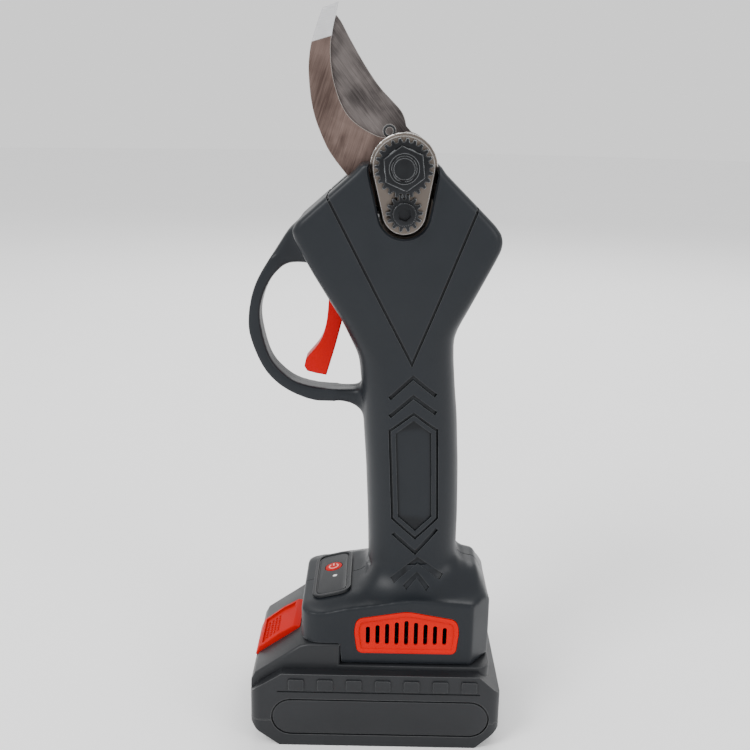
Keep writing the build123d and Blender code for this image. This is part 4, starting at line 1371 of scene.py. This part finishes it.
    def openings(self) -> list[Piece]:
        """Makes the tools that open the housing for the head, the trigger, the battery and the panel.

        Returns:
            The tools.
        """
        centre, down = joint_line("motor_spin")
        seats = zip((36, 43.3), self.gearbox_bore, (12, 3))
        tools = [Piece.rod(tuple(centre + down * at), radius, length, Axis.Z, sides=64, lean=self.motor_lean)
                 for at, radius, length in seats]
        head = CuttingHead()
        top, low = head.opening
        tools.append(head.teardrop(top, low, -40, 40))
        for side in Side:
            rings = []
            for grow, y in ((1.5, self.head_half + 0.7), (0.0, self.head_half - 0.8)):
                ring = head.teardrop_outline(top + grow, low + grow)
                rings.append([(x, side.value * y, z) for x, z in ring])
            tools.append(Piece.loft(rings))
        notch = [(-21, 247), (-33, 262), (-10, 290), (34, 290), (26, 256), (18, 247)]
        tools.append(Piece.plate(notch, -5.4, 4.4))
        slot = [(-36, 217.5), (-31, 215), (-17.8, 192.6), (-13, 182), (-3, 182), (-3, 219)]
        tools.append(Piece.plate(slot, -6.5, 6.5))
        tools.append(Piece.box((-20, -18.4, 38), (38.6, 18.4, 44)))
        tools.append(Piece.box((-20, -22.6, 43.8), (49, 22.6, 48.2)))
        tools.append(Piece.box((-40, -5.5, 49), (-28.4, 5.5, 52.8)))
        front = [(-40, 30), (-40, 49.7), (-16.8, 49.7), (-14.6, 30)]
        step = Piece.plate(front, -40, 40)
        tools.append(step.bevel(1.0, 2, 60, lambda at, way: abs(way.y) > 0.9 and at.z > 45))
        window = Piece.box((-21 - 7.7, -20.5, 60), (-21 + 7.7, 20.5, 76))
        window.bevel(4, 5, 60, lambda at, way: abs(way.z) > 0.9)
        tools.append(window.tilted(14, (-21, 0, 68)))
        grille = VentGrille()
        for side in Side:
            tools += grille.pocket(side)
        for x, z in self.screws:
            tools.append(Piece.rod((x, 0, z), self.screw_hole, 18.6, sides=20))
            tools.append(Piece.rod((x, 23.5, z), self.screw_head, 33, sides=32))
        return tools

    def decoration(self) -> Piece:
        """Makes the tool that cuts the V lines, the arrows and the long hexagon, of even depth.

        Returns:
            The tool.
        """
        lines = [stroke([(-24.6, 251.3), (13.1, 179.0), (39.2, 247.7)], 1.1)]
        for ends in (((3.7, 163.1), (13.8, 173.0), (24.2, 164.6)),
                     ((3.9, 154.7), (14.2, 164.1), (24.5, 156.4)),
                     ((6.7, 98.9), (17.0, 89.8), (26.7, 101.2))):
            lines.append(stroke(ends, 1.7))
        lines.append(stroke([(6.8, 76.6), (18.3, 86.0), (29.4, 78.2)], 2.6))
        lines.append(stroke([(12.6, 74.3), (18.1, 79.3), (23.1, 74.1)], 2.0))
        outer = [(14.6, 157.0), (3.6, 148.4), (5.7, 106.0), (16.8, 96.2), (27.1, 106.4), (25.7, 148.8)]
        tools = [Piece.plate(line, -40, 40) for line in lines]
        frame_line = Piece.plate(outer, -40, 40).cut(Piece.plate(moved_out(outer, -1.1), -41, 41))
        tools.append(frame_line)
        tools.append(Piece.plate(moved_out(outer, -3.1), -40, 40))
        tools.append(Piece.box((-60, -0.25, 45), (60, 0.25, 262)))
        joined = tools[0].add(*tools[1:])
        return joined.cut(self.body(0.9), self.foot(0.9), self.guard())

    def build(self) -> None:
        """Builds the hollow housing and splits it into its two shells."""
        solid = self.outside().cut(self.core(), self.decoration())
        solid.cut(*self.openings())
        pin = node_middle("trigger_pin")
        posts = [Piece.rod((pin.x, side.value * 15.6, pin.z), 4.2, 14.8, sides=32) for side in Side]
        solid.add(*posts)
        solid.cut(Piece.rod((pin.x, 0, pin.z), 1.52, 24.2, sides=24))
        for name, side in (("left_housing", Side.LEFT), ("right_housing", Side.RIGHT)):
            near, far = sorted((side.value * self.parting / 2, side.value * 60))
            half = solid.copy().keep(Piece.box((-90, near, 0), (90, far, 330)))
            half.hand_over(name + "_shell", "housing", "housing_black", HOUSING_BLACK, [name], 34)
        bpy.data.objects.remove(solid.obj)


@dataclass
class CuttingHead:
    """The two blades and the nut that holds them, with its locking gear.

    Args:
        rim: The width of the ground chamfers on the blades.
        opening: The radii of the housing's opening, at the pivot and at the locking gear.
        flats: The nut's width across flats.
        flange: The root and the tip radius of the nut's toothed flange.
        flange_thick: The flange's thickness.
        nut_teeth: The teeth of the nut's flange.
        gear: The root and the tip radius of the locking gear.
        lock_teeth: The teeth of the locking gear.
        tooth_turn: How far the meshing teeth are turned from straight down, in degrees.
    """

    rim: float = 0.45
    opening: Pair = (14.7, 10.9)
    flats: float = 16.0
    flange: Pair = (10.5, 12.2)
    flange_thick: float = 3.1
    nut_teeth: int = 23
    gear: Pair = (5.9, 7.8)
    lock_teeth: int = 14
    tooth_turn: float = 1.86

    def __post_init__(self) -> None:
        """Reads the places of the pivot and of the locking gear from the CAD nodes."""
        pivot, lock = node_middle("pivot_bush"), node_middle("lock_gear")
        self.pivot: Pair = (pivot.x, pivot.z)
        self.lock: Pair = (lock.x, lock.z)

    def teardrop_outline(self, top: float, low: float) -> list[Pair]:
        """Draws a form with a round end at the pivot and a smaller one at the locking gear.

        Args:
            top: The radius at the pivot.
            low: The radius at the locking gear.

        Returns:
            The closed outline.
        """
        dx, dz = self.lock[0] - self.pivot[0], self.lock[1] - self.pivot[1]
        lean = math.degrees(math.atan2(dz, dx))
        spread = math.degrees(math.acos((top - low) / math.hypot(dx, dz)))
        outline = arc(self.pivot, top, lean + spread, lean + 360 - spread, 56)
        return outline + arc(self.lock, low, lean - spread, lean + spread, 32)

    def teardrop(self, top: float, low: float, y0: float, y1: float) -> Piece:
        """Makes a plate of that form from y0 to y1."""
        return Piece.plate(self.teardrop_outline(top, low), y0, y1)

    def hook(self) -> None:
        """Builds the fixed hook blade: its curved plate, its chamfers and its thinner tip."""
        low, high = node_box("fixed_blade")
        outer = curve([(-28.6, 324.0), (-32.0, 313.3), (-33.2, 305.1), (-33.1, 297.9), (-32.0, 288.6),
                       (-29.8, 280.3), (-25.4, 270.2), (-21.5, 264.4)])
        root = [(-15.0, 256.5), (-8.0, 248.0), (1.0, 243.0), (13.0, 243.0)]
        hub = curve([(19.0, 250.0), (20.6, 262.0), (19.4, 269.0), (14.7, 274.6), (11.3, 276.6), (8.4, 277.2)])
        inner = curve([(8.4, 277.2), (3.6, 275.2), (-1.4, 274.6), (-6.3, 276.2), (-11.8, 279.3),
                       (-16.2, 283.1), (-19.5, 288.3), (-22.3, 296.1), (-23.7, 303.3), (-24.1, 309.4),
                       (-23.8, 314.5), (-23.0, 319.6), (-22.0, 324.1), (-21.0, 329.1)], 4)
        plate = Piece.plate([(-27.6, 326.5), *outer, *root, *hub[:-1], *inner], low.y, high.y)
        x0, z0, x1, z1 = TIP_LINE
        plate.bevel(self.rim, 2, 40, lambda at, way: abs(way.y) < 0.5 and at.z > 255)
        plate.cut(Piece.plate([(x0, z0), (x1, z1), (-15, 332), (-36, 332)], low.y - 1, low.y + 0.25))
        plate.cut(Piece.rod((self.pivot[0], -3, self.pivot[1]), 5.03, 12))
        for x, z in ((-9.5, 257.5), (15.8, 250.5)):
            hole = Piece.rod((x, -3, z), 2.03, 12, sides=24)
            plate.cut(hole, Piece.rod((x, high.y, z), 3.55, 4.4, sides=32))
        plate.hand_over("hook_blade", "housing", "blade_steel", HOOK_STEEL, ["fixed_blade"], 25)

    def blade(self) -> None:
        """Builds the moving blade: its ground back and cutting edge, and a dark ring of painted shade in the
        groove round its stop pin's spot.
        """
        low, high = node_box("moving_blade")
        blade = Piece.of_node("moving_blade")
        with blade.editing():
            bpy.ops.mesh.select_all(action="SELECT")
            bpy.ops.mesh.dissolve_limited(angle_limit=math.radians(1.0))
        back = ((266, -9), (276, -15.5), (285, -22), (294, -26), (304, -28), (325, -24))
        blade.bevel(1.7, 1, 60, lambda at, way: at.y > high.y - 0.1 and at.z > 266 and at.x < -6
                    and way.z != 0 and at.x < level(back, at.z))
        blade.bevel(self.rim, 2, 60, lambda at, way: abs(way.y) < 0.5 and at.z > 281 and at.y < low.y + 0.1)
        spot = (1.3, low.y + 0.45, 277.2)
        blade.cut(Piece.rod(spot, 2.8, 2.4, sides=40).cut(Piece.rod(spot, 1.7, 4, sides=40)))
        # The dark ring sits flush in the groove and stands in for the groove's shade: painted shade in black
        # oxide.
        pin = Piece.rod(spot, 2.7, 0.9, sides=40).cut(Piece.rod(spot, 1.8, 4, sides=40)).bevel(0.2, 2)
        pin.hand_over("stop_ring", "blade", "blade_steel", BLACK_OXIDE)
        blade.hand_over("cutting_blade", "blade", "blade_steel", BLADE_STEEL, ["moving_blade"], 25)

    def nut(self) -> None:
        """Builds the blade nut: the toothed flange, the washer face and the chamfered hexagon."""
        low, high = node_box("pivot_nut")
        x, z = self.pivot
        outline = toothed(self.pivot, self.nut_teeth, *self.flange, self.tooth_turn - 90)
        flange = Piece.plate(outline, high.y - self.flange_thick, high.y)
        flange.bevel(0.3, 2, 25)
        length = high.y - 3 - low.y
        middle = (x, (low.y + high.y - 3) / 2, z)
        bar = hexagon(middle, self.flats, length, 7)
        near = self.flats / 2 + 0.75
        bar.keep(Piece.rod(middle, near + 1.73 * length, length + 0.01, tip=near, sides=64))
        bar.bevel(0.3, 2, 25)
        washer = Piece.rod((x, high.y - 3.3, z), 8.3, 1.2, sides=64).bevel(0.25, 2)
        flange.add(washer, bar)
        flange.cut(Piece.rod((x, low.y, z), 5.9, 1.6, tip=6.2), Piece.rod((x, -28, z), 5.03, 20))
        flange.hand_over("blade_nut", "housing", "black_oxide", BLACK_OXIDE, ["pivot_nut"])

    def bracket(self) -> None:
        """Bevels the outer rims of the bracket on a copy of its CAD mesh."""
        low, high = node_box("head_bracket")
        bracket = Piece.of_node("head_bracket")
        with bracket.editing():
            bpy.ops.mesh.select_all(action="SELECT")
            bpy.ops.mesh.dissolve_limited(angle_limit=math.radians(0.5))

        def on_rim(at: Vector, way: Vector) -> bool:
            """Takes the edges of both faces, clear of the nut and of the locking gear."""
            clear = math.dist((at.x, at.z), self.pivot) > 11 and math.dist((at.x, at.z), self.lock) > 7
            return clear and at.z > 230 and (at.y < low.y + 0.05 or at.y > high.y - 0.05)

        bracket.bevel(1.2, 1, 60, on_rim)
        bracket.hand_over("blade_bracket", "housing", "bracket_metal", BRACKET_METAL, ["head_bracket"], 25)

    def locking_gear(self) -> None:
        """Builds the small gear that stops the nut, and its socket screw."""
        low, high = node_box("lock_gear")
        x, z = self.lock
        turn = 90 + self.tooth_turn + 180 / self.lock_teeth
        gear = Piece.plate(toothed(self.lock, self.lock_teeth, *self.gear, turn), low.y, high.y)
        gear.bevel(0.3, 2, 25).cut(Piece.rod((x, low.y, z), 3.03, 12, sides=32))
        gear.hand_over("locking_gear", "housing", "black_oxide", BLACK_OXIDE, ["lock_gear"])
        start, end = node_box("lock_screw")
        head = Piece.plate(toothed(self.lock, 32, 4.72, 4.9, 0), start.y, low.y)
        head.bevel(0.7, 3, 60, lambda at, way: at.y < start.y + 0.05)
        head.cut(hexagon((x, start.y, z), 5.0, 6.0, 12))
        stem = Piece.rod((x, (low.y - 0.3 + end.y) / 2, z), 3.0, end.y - low.y + 0.3, sides=32)
        head.add(stem.bevel(0.4, 2))
        head.hand_over("locking_screw", "housing", "black_oxide", BLACK_OXIDE, ["lock_screw"])

    def build(self) -> None:
        """Builds every piece of the cutting head."""
        self.hook()
        self.blade()
        self.bracket()
        self.nut()
        self.locking_gear()


@dataclass
class Trigger:
    """The red trigger: a broad rounded finger pad on a narrower web.

    Args:
        pad_half: Half the pad's width.
        web_half: Half the web's width.
        hub: The radius of the hub on the trigger pin.
    """

    pad_half: float = 5.8
    web_half: float = 3.6
    hub: float = 4.0

    def build(self) -> None:
        """Builds the trigger with its pin hole and its magnet's pocket."""
        pin = node_middle("trigger_pin")
        front = curve([(-24.0, 210.0), (-24.2, 202.0), (-25.2, 193.0), (-27.8, 185.0), (-34.2, 176.8)], 5)
        back = curve([(-24.9, 169.4), (-20.8, 183.6), (-17.8, 195.5), (-15.6, 203.0)], 4)
        outline = [*front, (-34.9, 173.4), (-33.6, 171.2), (-29.6, 170.2), *back]
        pad = Piece.plate(outline, -self.pad_half, self.pad_half)
        pad.bevel(1.0, 4, 35, lambda at, way: abs(way.y) < 0.5)
        web = Piece.plate([(-23.0, 209.4), (-23.4, 196.0), (-17.4, 196.6), (-11.8, 206.0), (-10.0, 212.0),
                           (-14.0, 216.4), (-19.6, 212.4)], -self.web_half, self.web_half)
        web.bevel(0.7, 3, 50, lambda at, way: abs(way.y) < 0.5)
        hub = Piece.rod(tuple(pin), self.hub, 2 * self.web_half, sides=40).bevel(0.4, 2)
        magnet_low, magnet_high = node_box("trigger_magnet")
        middle = (magnet_low + magnet_high) / 2
        pad.add(web, hub)
        pad.cut(Piece.rod(tuple(pin), 1.55, 20, sides=32),
                Piece.rod((middle.x, magnet_low.y + 3.25, middle.z), 2.0, 6.5, sides=32))
        pad.hand_over("trigger_lever", "trigger", "trigger_red", TRIGGER_RED, ["trigger"])


@dataclass
class ControlPanel:
    """The oblong panel on the foot's slope, with the power button.

    Args:
        place: The panel's middle on the slope, as (x, y, z).
        tilt: The slope, in degrees.
        size: The panel's size along X and Y.
        lift: How far its underside stands off the foot.
        button: The button's place along Y, from the middle.
        light: The light's place from the middle, as (x, y).
    """

    place: Triple = (-21.0, 0.0, 68.0)
    tilt: float = 14.0
    size: Pair = (18.4, 44.0)
    lift: float = 0.3
    button: float = 7.0
    light: Pair = (1.0, -3.0)

    def block(self, size: Pair, low: float, high: float, corner: float) -> Piece:
        """Makes a flat block with round corners, before it is tilted.

        Args:
            size: Its size along X and Y.
            low: Its underside, above the panel's plane.
            high: Its top.
            corner: The radius of its corners.

        Returns:
            The block.
        """
        x, y, z = self.place
        ground = z + self.lift
        half_x, half_y = size[0] / 2, size[1] / 2
        block = Piece.box((x - half_x, y - half_y, ground + low), (x + half_x, y + half_y, ground + high))
        return block.bevel(corner, 7, 60, lambda at, way: abs(way.z) > 0.9)

    def bezel(self) -> None:
        """Builds the panel: a raised border, a groove and the plate inside it."""
        x, y, z = self.place
        ground = z + self.lift
        top = self.block(self.size, 0, 1.1, 5.5)
        top.sink(1.6, 0.75, lambda at, way: way.z > 0.9)
        top.sink(0.55, -0.45, lambda at, way: way.z > 0.9 and at.z < ground + 0.6)
        top.bevel(0.3, 3, 50, lambda at, way: abs(way.z) < 0.5 and at.z > ground + 0.2)
        top.add(self.block((self.size[0] - 3.3, self.size[1] - 3.3), -2.2, 0.1, 3.9))
        lamp = Piece.rod((x + self.light[0], y + self.light[1], ground), 1.1, 8, Axis.Z, sides=24)
        top.cut(Piece.rod((x, y + self.button, ground), 4.5, 8, Axis.Z, sides=64), lamp)
        top.tilted(self.tilt, self.place)
        top.hand_over("panel_bezel", "housing", "panel_black", PANEL_BLACK, ["control_panel"])

    def power(self) -> None:
        """Builds the power button and the symbol on it."""
        x, y, z = self.place
        ground, y = z + self.lift, y + self.button
        cap = Piece.rod((x, y, ground - 0.8), 4.2, 3.6, Axis.Z, sides=64)
        cap.bevel(0.45, 4, 60, lambda at, way: at.z > ground + 0.9)
        cap.add(Piece.rod((x, y, ground - 3.0), 5.2, 0.8, Axis.Z, sides=64).bevel(0.15, 2))
        cap.tilted(self.tilt, self.place)
        cap.hand_over("power_cap", "power_button", "power_red", POWER_RED, ["power_button"])
        ring = Piece.plate(stroke(arc((x, y), 2.2, 125, 415, 30), 0.55), ground + 0.95, ground + 1.1, Axis.Z)
        bar = Piece.plate(stroke([(x, y + 0.5), (x, y + 2.9)], 0.55), ground + 0.95, ground + 1.1, Axis.Z)
        ring.add(bar).bevel(0.05, 1)
        ring.tilted(self.tilt, self.place)
        ring.hand_over("power_symbol", "power_button", "power_red", SYMBOL_PINK)

    def build(self) -> None:
        """Builds the panel and its button."""
        self.bezel()
        self.power()


@dataclass
class VentGrille:
    """The slotted vent covers in the foot's sides.

    Args:
        outline: The cover's corners, as (x, z).
        face: How far its outer face stands from the middle plane.
        thick: Its thickness.
        corner: The radius of its corners.
        gap: The gap between the cover and its pocket.
        border: The width of the seat behind the cover.
        depth: How far the opening goes in behind the cover's face.
        slots: The number of its slots.
        first: The place of the first slot along X.
        step: The distance between slots.
    """

    outline: Outline = ((-10.4, 56.5), (-9.0, 62.2), (13.9, 66.1), (36.3, 62.3), (37.8, 57.0), (36.5, 45.0),
                        (-8.8, 45.0))
    face: float = 32.6
    thick: float = 1.9
    corner: float = 2.4
    gap: float = 0.15
    border: float = 2.2
    depth: float = 5.6
    slots: int = 9
    first: float = -3.9
    step: float = 4.38

    def pocket(self, side: Side) -> list[Piece]:
        """Makes the tools for the pocket and the air opening in one side of the foot.

        Args:
            side: The side of the tool.

        Returns:
            The pocket and the opening.
        """
        tools = []
        for grow, deep in ((self.gap, self.face - self.thick), (-self.border, self.face - self.depth)):
            near, far = sorted((side.value * deep, side.value * (self.face + 2)))
            tool = Piece.plate(moved_out(self.outline, grow), near, far)
            tools.append(tool.bevel(self.corner, 4, 5, lambda at, way: abs(way.y) > 0.9))
        return tools

    def build(self) -> None:
        """Builds the left cover and mirrors it for the right one."""
        cover = Piece.plate(moved_out(self.outline, -0.1), -self.face, self.thick - self.face)
        cover.bevel(self.corner, 4, 5, lambda at, way: abs(way.y) > 0.9)
        cover.sink(2.0, 0.7, lambda at, way: way.y < -0.9)
        cover.bevel(0.35, 3, 50, lambda at, way: abs(way.y) < 0.5 and at.y < 0.3 - self.face)
        middle = (self.slots - 1) / 2
        for n in range(self.slots):
            x = self.first + self.step * n
            top, low = 60.5 - 0.8 * abs(n - middle), 50.0 + 0.1 * abs(n - middle)
            slot = [*arc((x, top), 0.95, 0, 180, 8), *arc((x, low), 0.95, 180, 360, 8)]
            cover.cut(Piece.plate(slot, -40, -25))
        right = cover.across()
        right.hand_over("right_vent_cover", "housing", "grille_red", GRILLE_RED, ["right_vent_grille"])
        cover.hand_over("left_vent_cover", "housing", "grille_red", GRILLE_RED, ["left_vent_grille"])


@dataclass
class BatteryPack:
    """The slide-on battery pack: two shells, the side panels and the release button.

    Args:
        half: Half its width.
        deck: The top of the deck under the foot.
        wall: The thickness of its shells.
        split: The height where its shells meet.
        side: The case's outline, as (x, z).
        hump: The outline of the raised front.
        button: The outline of the release button.
        panel: The ends of the side panel's middle line along X, its height and its end radius.
        press: The way that the button goes in, as (x, z).
        travel: How far it goes in.
        screw_at: The screws' distances from the middle, along X and Y.
        boss: The radius of the screw bosses.
        screw_head: The radius of the recesses for the screws' heads.
        screw_hole: The radius of the screws' holes.
        contacts: The places of the contact slots along Y.
    """

    half: float = 38.0
    deck: float = 38.9
    wall: float = 2.2
    split: float = 13.0
    side: Outline = ((-44, 0), (-54.5, 7.5), (-57.5, 11), (-57.5, 26), (-54.5, 29.5), (-43, 36.8),
                     (47.5, 36.8), (57.5, 27.5), (57.5, 10), (46.5, 0))
    hump: Outline = ((-57.4, 26), (-57.4, 30.5), (-55.6, 34), (-41.5, 43.8), (-35, 48.4), (-31, 49.3),
                     (-16.3, 49.3), (-16.3, 30), (-54, 26))
    button: Outline = ((-57.6, 32.2), (-56, 36.2), (-46.4, 43.6), (-39, 47.9), (-36.2, 47.9), (-36.2, 42),
                       (-52, 32.2))
    panel: tuple[float, float, float, float] = (-38.6, 43.4, 14.9, 8.9)
    press: Pair = (0.6, -0.8)
    travel: float = 3.5
    screw_at: Pair = (50.6, 27.0)
    boss: float = 3.0
    screw_head: float = 2.5
    screw_hole: float = 1.45
    contacts: tuple[float, ...] = (-12.0, -4.0, 4.0, 12.0)

    def form(self, shrink: float) -> Piece:
        """Makes the pack's outer form, grown inwards by shrink; only the outer one has soft edges.

        Args:
            shrink: How far the walls move in.

        Returns:
            The form.
        """
        s = shrink
        ring = rounded_box_ring((s - 57.5, s - self.half), (57.5 - s, self.half - s), 5)
        plan = Piece.plate(ring, -10, 80, Axis.Z)
        case = Piece.plate(moved_out(self.side, -s), s - self.half, self.half - s).keep(plan.copy())
        hump = Piece.plate(moved_out(self.hump, -s), s - 33, 33 - s).keep(plan)
        deck = Piece.box((s - 43.5, s - 33, 30), (52.5 - s, 33 - s, self.deck - s))
        deck.bevel(6 - s, 5, 60, lambda at, way: abs(way.z) > 0.9)
        if not shrink:
            case.bevel(2.0, 1, 40, lambda at, way: abs(at.y) > self.half - 0.2 and abs(way.y) < 0.3)
            case.bevel(0.6, 2, 20, lambda at, way: abs(way.y) > 0.9 and abs(at.y) < self.half - 4)
            hump.bevel(1.6, 4, 40, lambda at, way: abs(at.y) > 32.8 and at.z > 30)
            deck.bevel(0.7, 2, 50, lambda at, way: at.z > self.deck - 0.1)
        return case.add(deck, hump)

    def rail_block(self, shrink: float) -> list[Piece]:
        """Makes the block that slides into the foot's rails.

        Args:
            shrink: How far its walls move in.

        Returns:
            Its neck and its flange.
        """
        s = shrink
        neck = Piece.box((s - 12, s - 18, 34), (38 - s, 18 - s, 45))
        flange = Piece.box((s - 12, s - 22, 44.1), (38 - s, 22 - s, 47.6 - s))
        if not shrink:
            flange.bevel(0.5, 2)
        return [neck, flange]

    def grip_blocks(self) -> list[Piece]:
        """Makes the row of low grip blocks along both long sides.

        Returns:
            The blocks.
        """
        blocks = []
        first = Piece.box((-39.9, -self.half - 0.9, 28.9), (-32.7, 1 - self.half, 34.4))
        first.bevel(0.8, 3, 60, lambda at, way: abs(way.y) > 0.9)
        first.bevel(0.35, 2, 60, lambda at, way: at.y < -self.half - 0.8)
        for n in range(7):
            block = first.copy().shifted((13.2 * n, 0, 0))
            blocks += [block.across(), block]
        bpy.data.objects.remove(first.obj)
        return blocks

    def stadium(self, grow: float) -> list[Pair]:
        """Draws the side panel's outline, grown by grow."""
        x0, x1, z, radius = self.panel
        return [*arc((x1, z), radius + grow, -90, 90, 20), *arc((x0, z), radius + grow, 90, 270, 20)]

    def shells(self) -> None:
        """Builds the hollow case and splits it into its lower and upper shells."""
        solid = self.form(0).add(*self.rail_block(0), *self.grip_blocks())
        hollow = self.form(self.wall).add(*self.rail_block(1.8))
        far_x, far_y = self.screw_at
        screws = [(x, y) for x in (-far_x, far_x) for y in (-far_y, far_y)]
        hollow.cut(*[Piece.rod((x, y, 13), self.boss, 27, Axis.Z, sides=24) for x, y in screws])
        solid.cut(hollow)
        # The pocket is the button's outline, cut again and again along the way that it goes in.
        for n in range(8):
            push = 0.15 * n * self.travel
            pocket = Piece.plate(moved_out(self.button, 0.3), -14.0, 14.0)
            solid.cut(pocket.shifted((self.press[0] * push, 0, self.press[1] * push)))
        solid.cut(Piece.box((-36.4, -5.3, 34), (-27.2, 5.3, 60)))
        for y in self.contacts:
            solid.cut(Piece.box((24, y - 1.2, 41), (40, y + 1.2, 46.9)))
        for x, y in screws:
            solid.cut(Piece.rod((x, y, 3.25), self.screw_head, 8.5, Axis.Z, sides=32))
            solid.cut(Piece.rod((x, y, 12), self.screw_hole, 24, Axis.Z, sides=24))
        for side in Side:
            near, far = sorted((side.value * (self.half - 1.1), side.value * (self.half + 3)))
            solid.cut(Piece.plate(self.stadium(0.3), near, far))
            line = sorted((side.value * (self.half - 0.5), side.value * (self.half + 3)))
            solid.cut(Piece.box((-45, line[0], 27.5), (48, line[1], 28.1)))
        upper = solid.copy().keep(Piece.box((-90, -60, self.split + 0.12), (90, 60, 80)))
        lower = solid.keep(Piece.box((-90, -60, -1), (90, 60, self.split - 0.12)))
        lower.hand_over("battery_lower_case", "battery", "battery_black", BATTERY_BLACK,
                        ["battery_lower_shell"])
        upper.hand_over("battery_upper_case", "battery", "battery_black", BATTERY_BLACK,
                        ["battery_upper_shell"])

    def side_panels(self) -> None:
        """Builds the long panel let into each side."""
        panel = Piece.plate(self.stadium(-0.4), -self.half - 0.1, 1.1 - self.half)
        panel.bevel(0.35, 2, 60, lambda at, way: at.y < -self.half)
        panel.across().hand_over("right_side_panel", "battery", "battery_black", BATTERY_BLACK)
        panel.hand_over("left_side_panel", "battery", "battery_black", BATTERY_BLACK)

    def release(self) -> None:
        """Builds the red release button, with its finger recess and its raised dots."""
        foot, bend, top = (Vector(self.button[n]) for n in (1, 2, 3))
        slope = (bend - foot).normalized()
        out = Vector((-slope.y, slope.x))
        key = Piece.plate(self.button, -13.6, 13.6)
        key.bevel(0.5, 3, 15, lambda at, way: abs(at.y) > 13.5 and at.x < -36.5)
        start, end = foot + slope * 1.6, top + (bend - top).normalized() * 1.4
        key.cut(Piece.plate(stroke([tuple(start), tuple(bend), tuple(end)], 1.8), -11.6, 11.6))
        hook_end = node_box("latch_hook")[0].x
        key.add(Piece.box((-38.0, -4.9, 42.2), (hook_end, 4.9, 44.6)))
        key.hand_over("release_key", "release", "button_red", BUTTON_RED, ["release_button"])
        lean = math.degrees(math.atan2(out.x, out.y))
        dot = Piece.rod((foot.x, 0, foot.y), 0.6, 0.9, Axis.Z, sides=16, lean=lean)
        dot.bevel(0.28, 3, 40)
        dots = []
        for row in range(4):
            step = slope * (3.4 + 2.2 * row) - out * 0.8
            dots += [dot.copy().shifted((step.x, -6.6 + 2.2 * n, step.y)) for n in range(7)]
        bpy.data.objects.remove(dot.obj)
        dots[0].join(dots[1:]).hand_over("release_dots", "release", "button_red", BUTTON_RED)

    def build(self) -> None:
        """Builds the pack."""
        self.shells()
        self.side_panels()
        self.release()


@dataclass
class InnerWorks:
    """The nodes that keep their CAD meshes: the drive, the boards, the cells, the springs and the screws."""

    def build(self) -> None:
        """Gives each shown CAD node the finish of its material slot."""
        slots = {part["node"]: part["material_slot"] for part in frame["record"]["subparts"]}
        for node, obj in sorted(frame["nodes"].items()):
            if obj.hide_render:
                continue
            finish = FINISHES.get(slots[node], BLACK_OXIDE)
            obj.data.materials.clear()
            obj.data.materials.append(finish.material())
            LOG.info("%s keeps its CAD mesh, in %s", node, finish.name)


def main() -> None:
    """Builds the studio and every sub-assembly."""
    logging.basicConfig(level=logging.INFO, format="%(message)s")
    parts = (Studio(), Housing(), CuttingHead(), Trigger(), ControlPanel(), VentGrille(), BatteryPack(),
             InnerWorks())
    for part in parts:
        LOG.info("building %s", type(part).__name__)
        part.build()


if __name__ == "__main__":
    main()
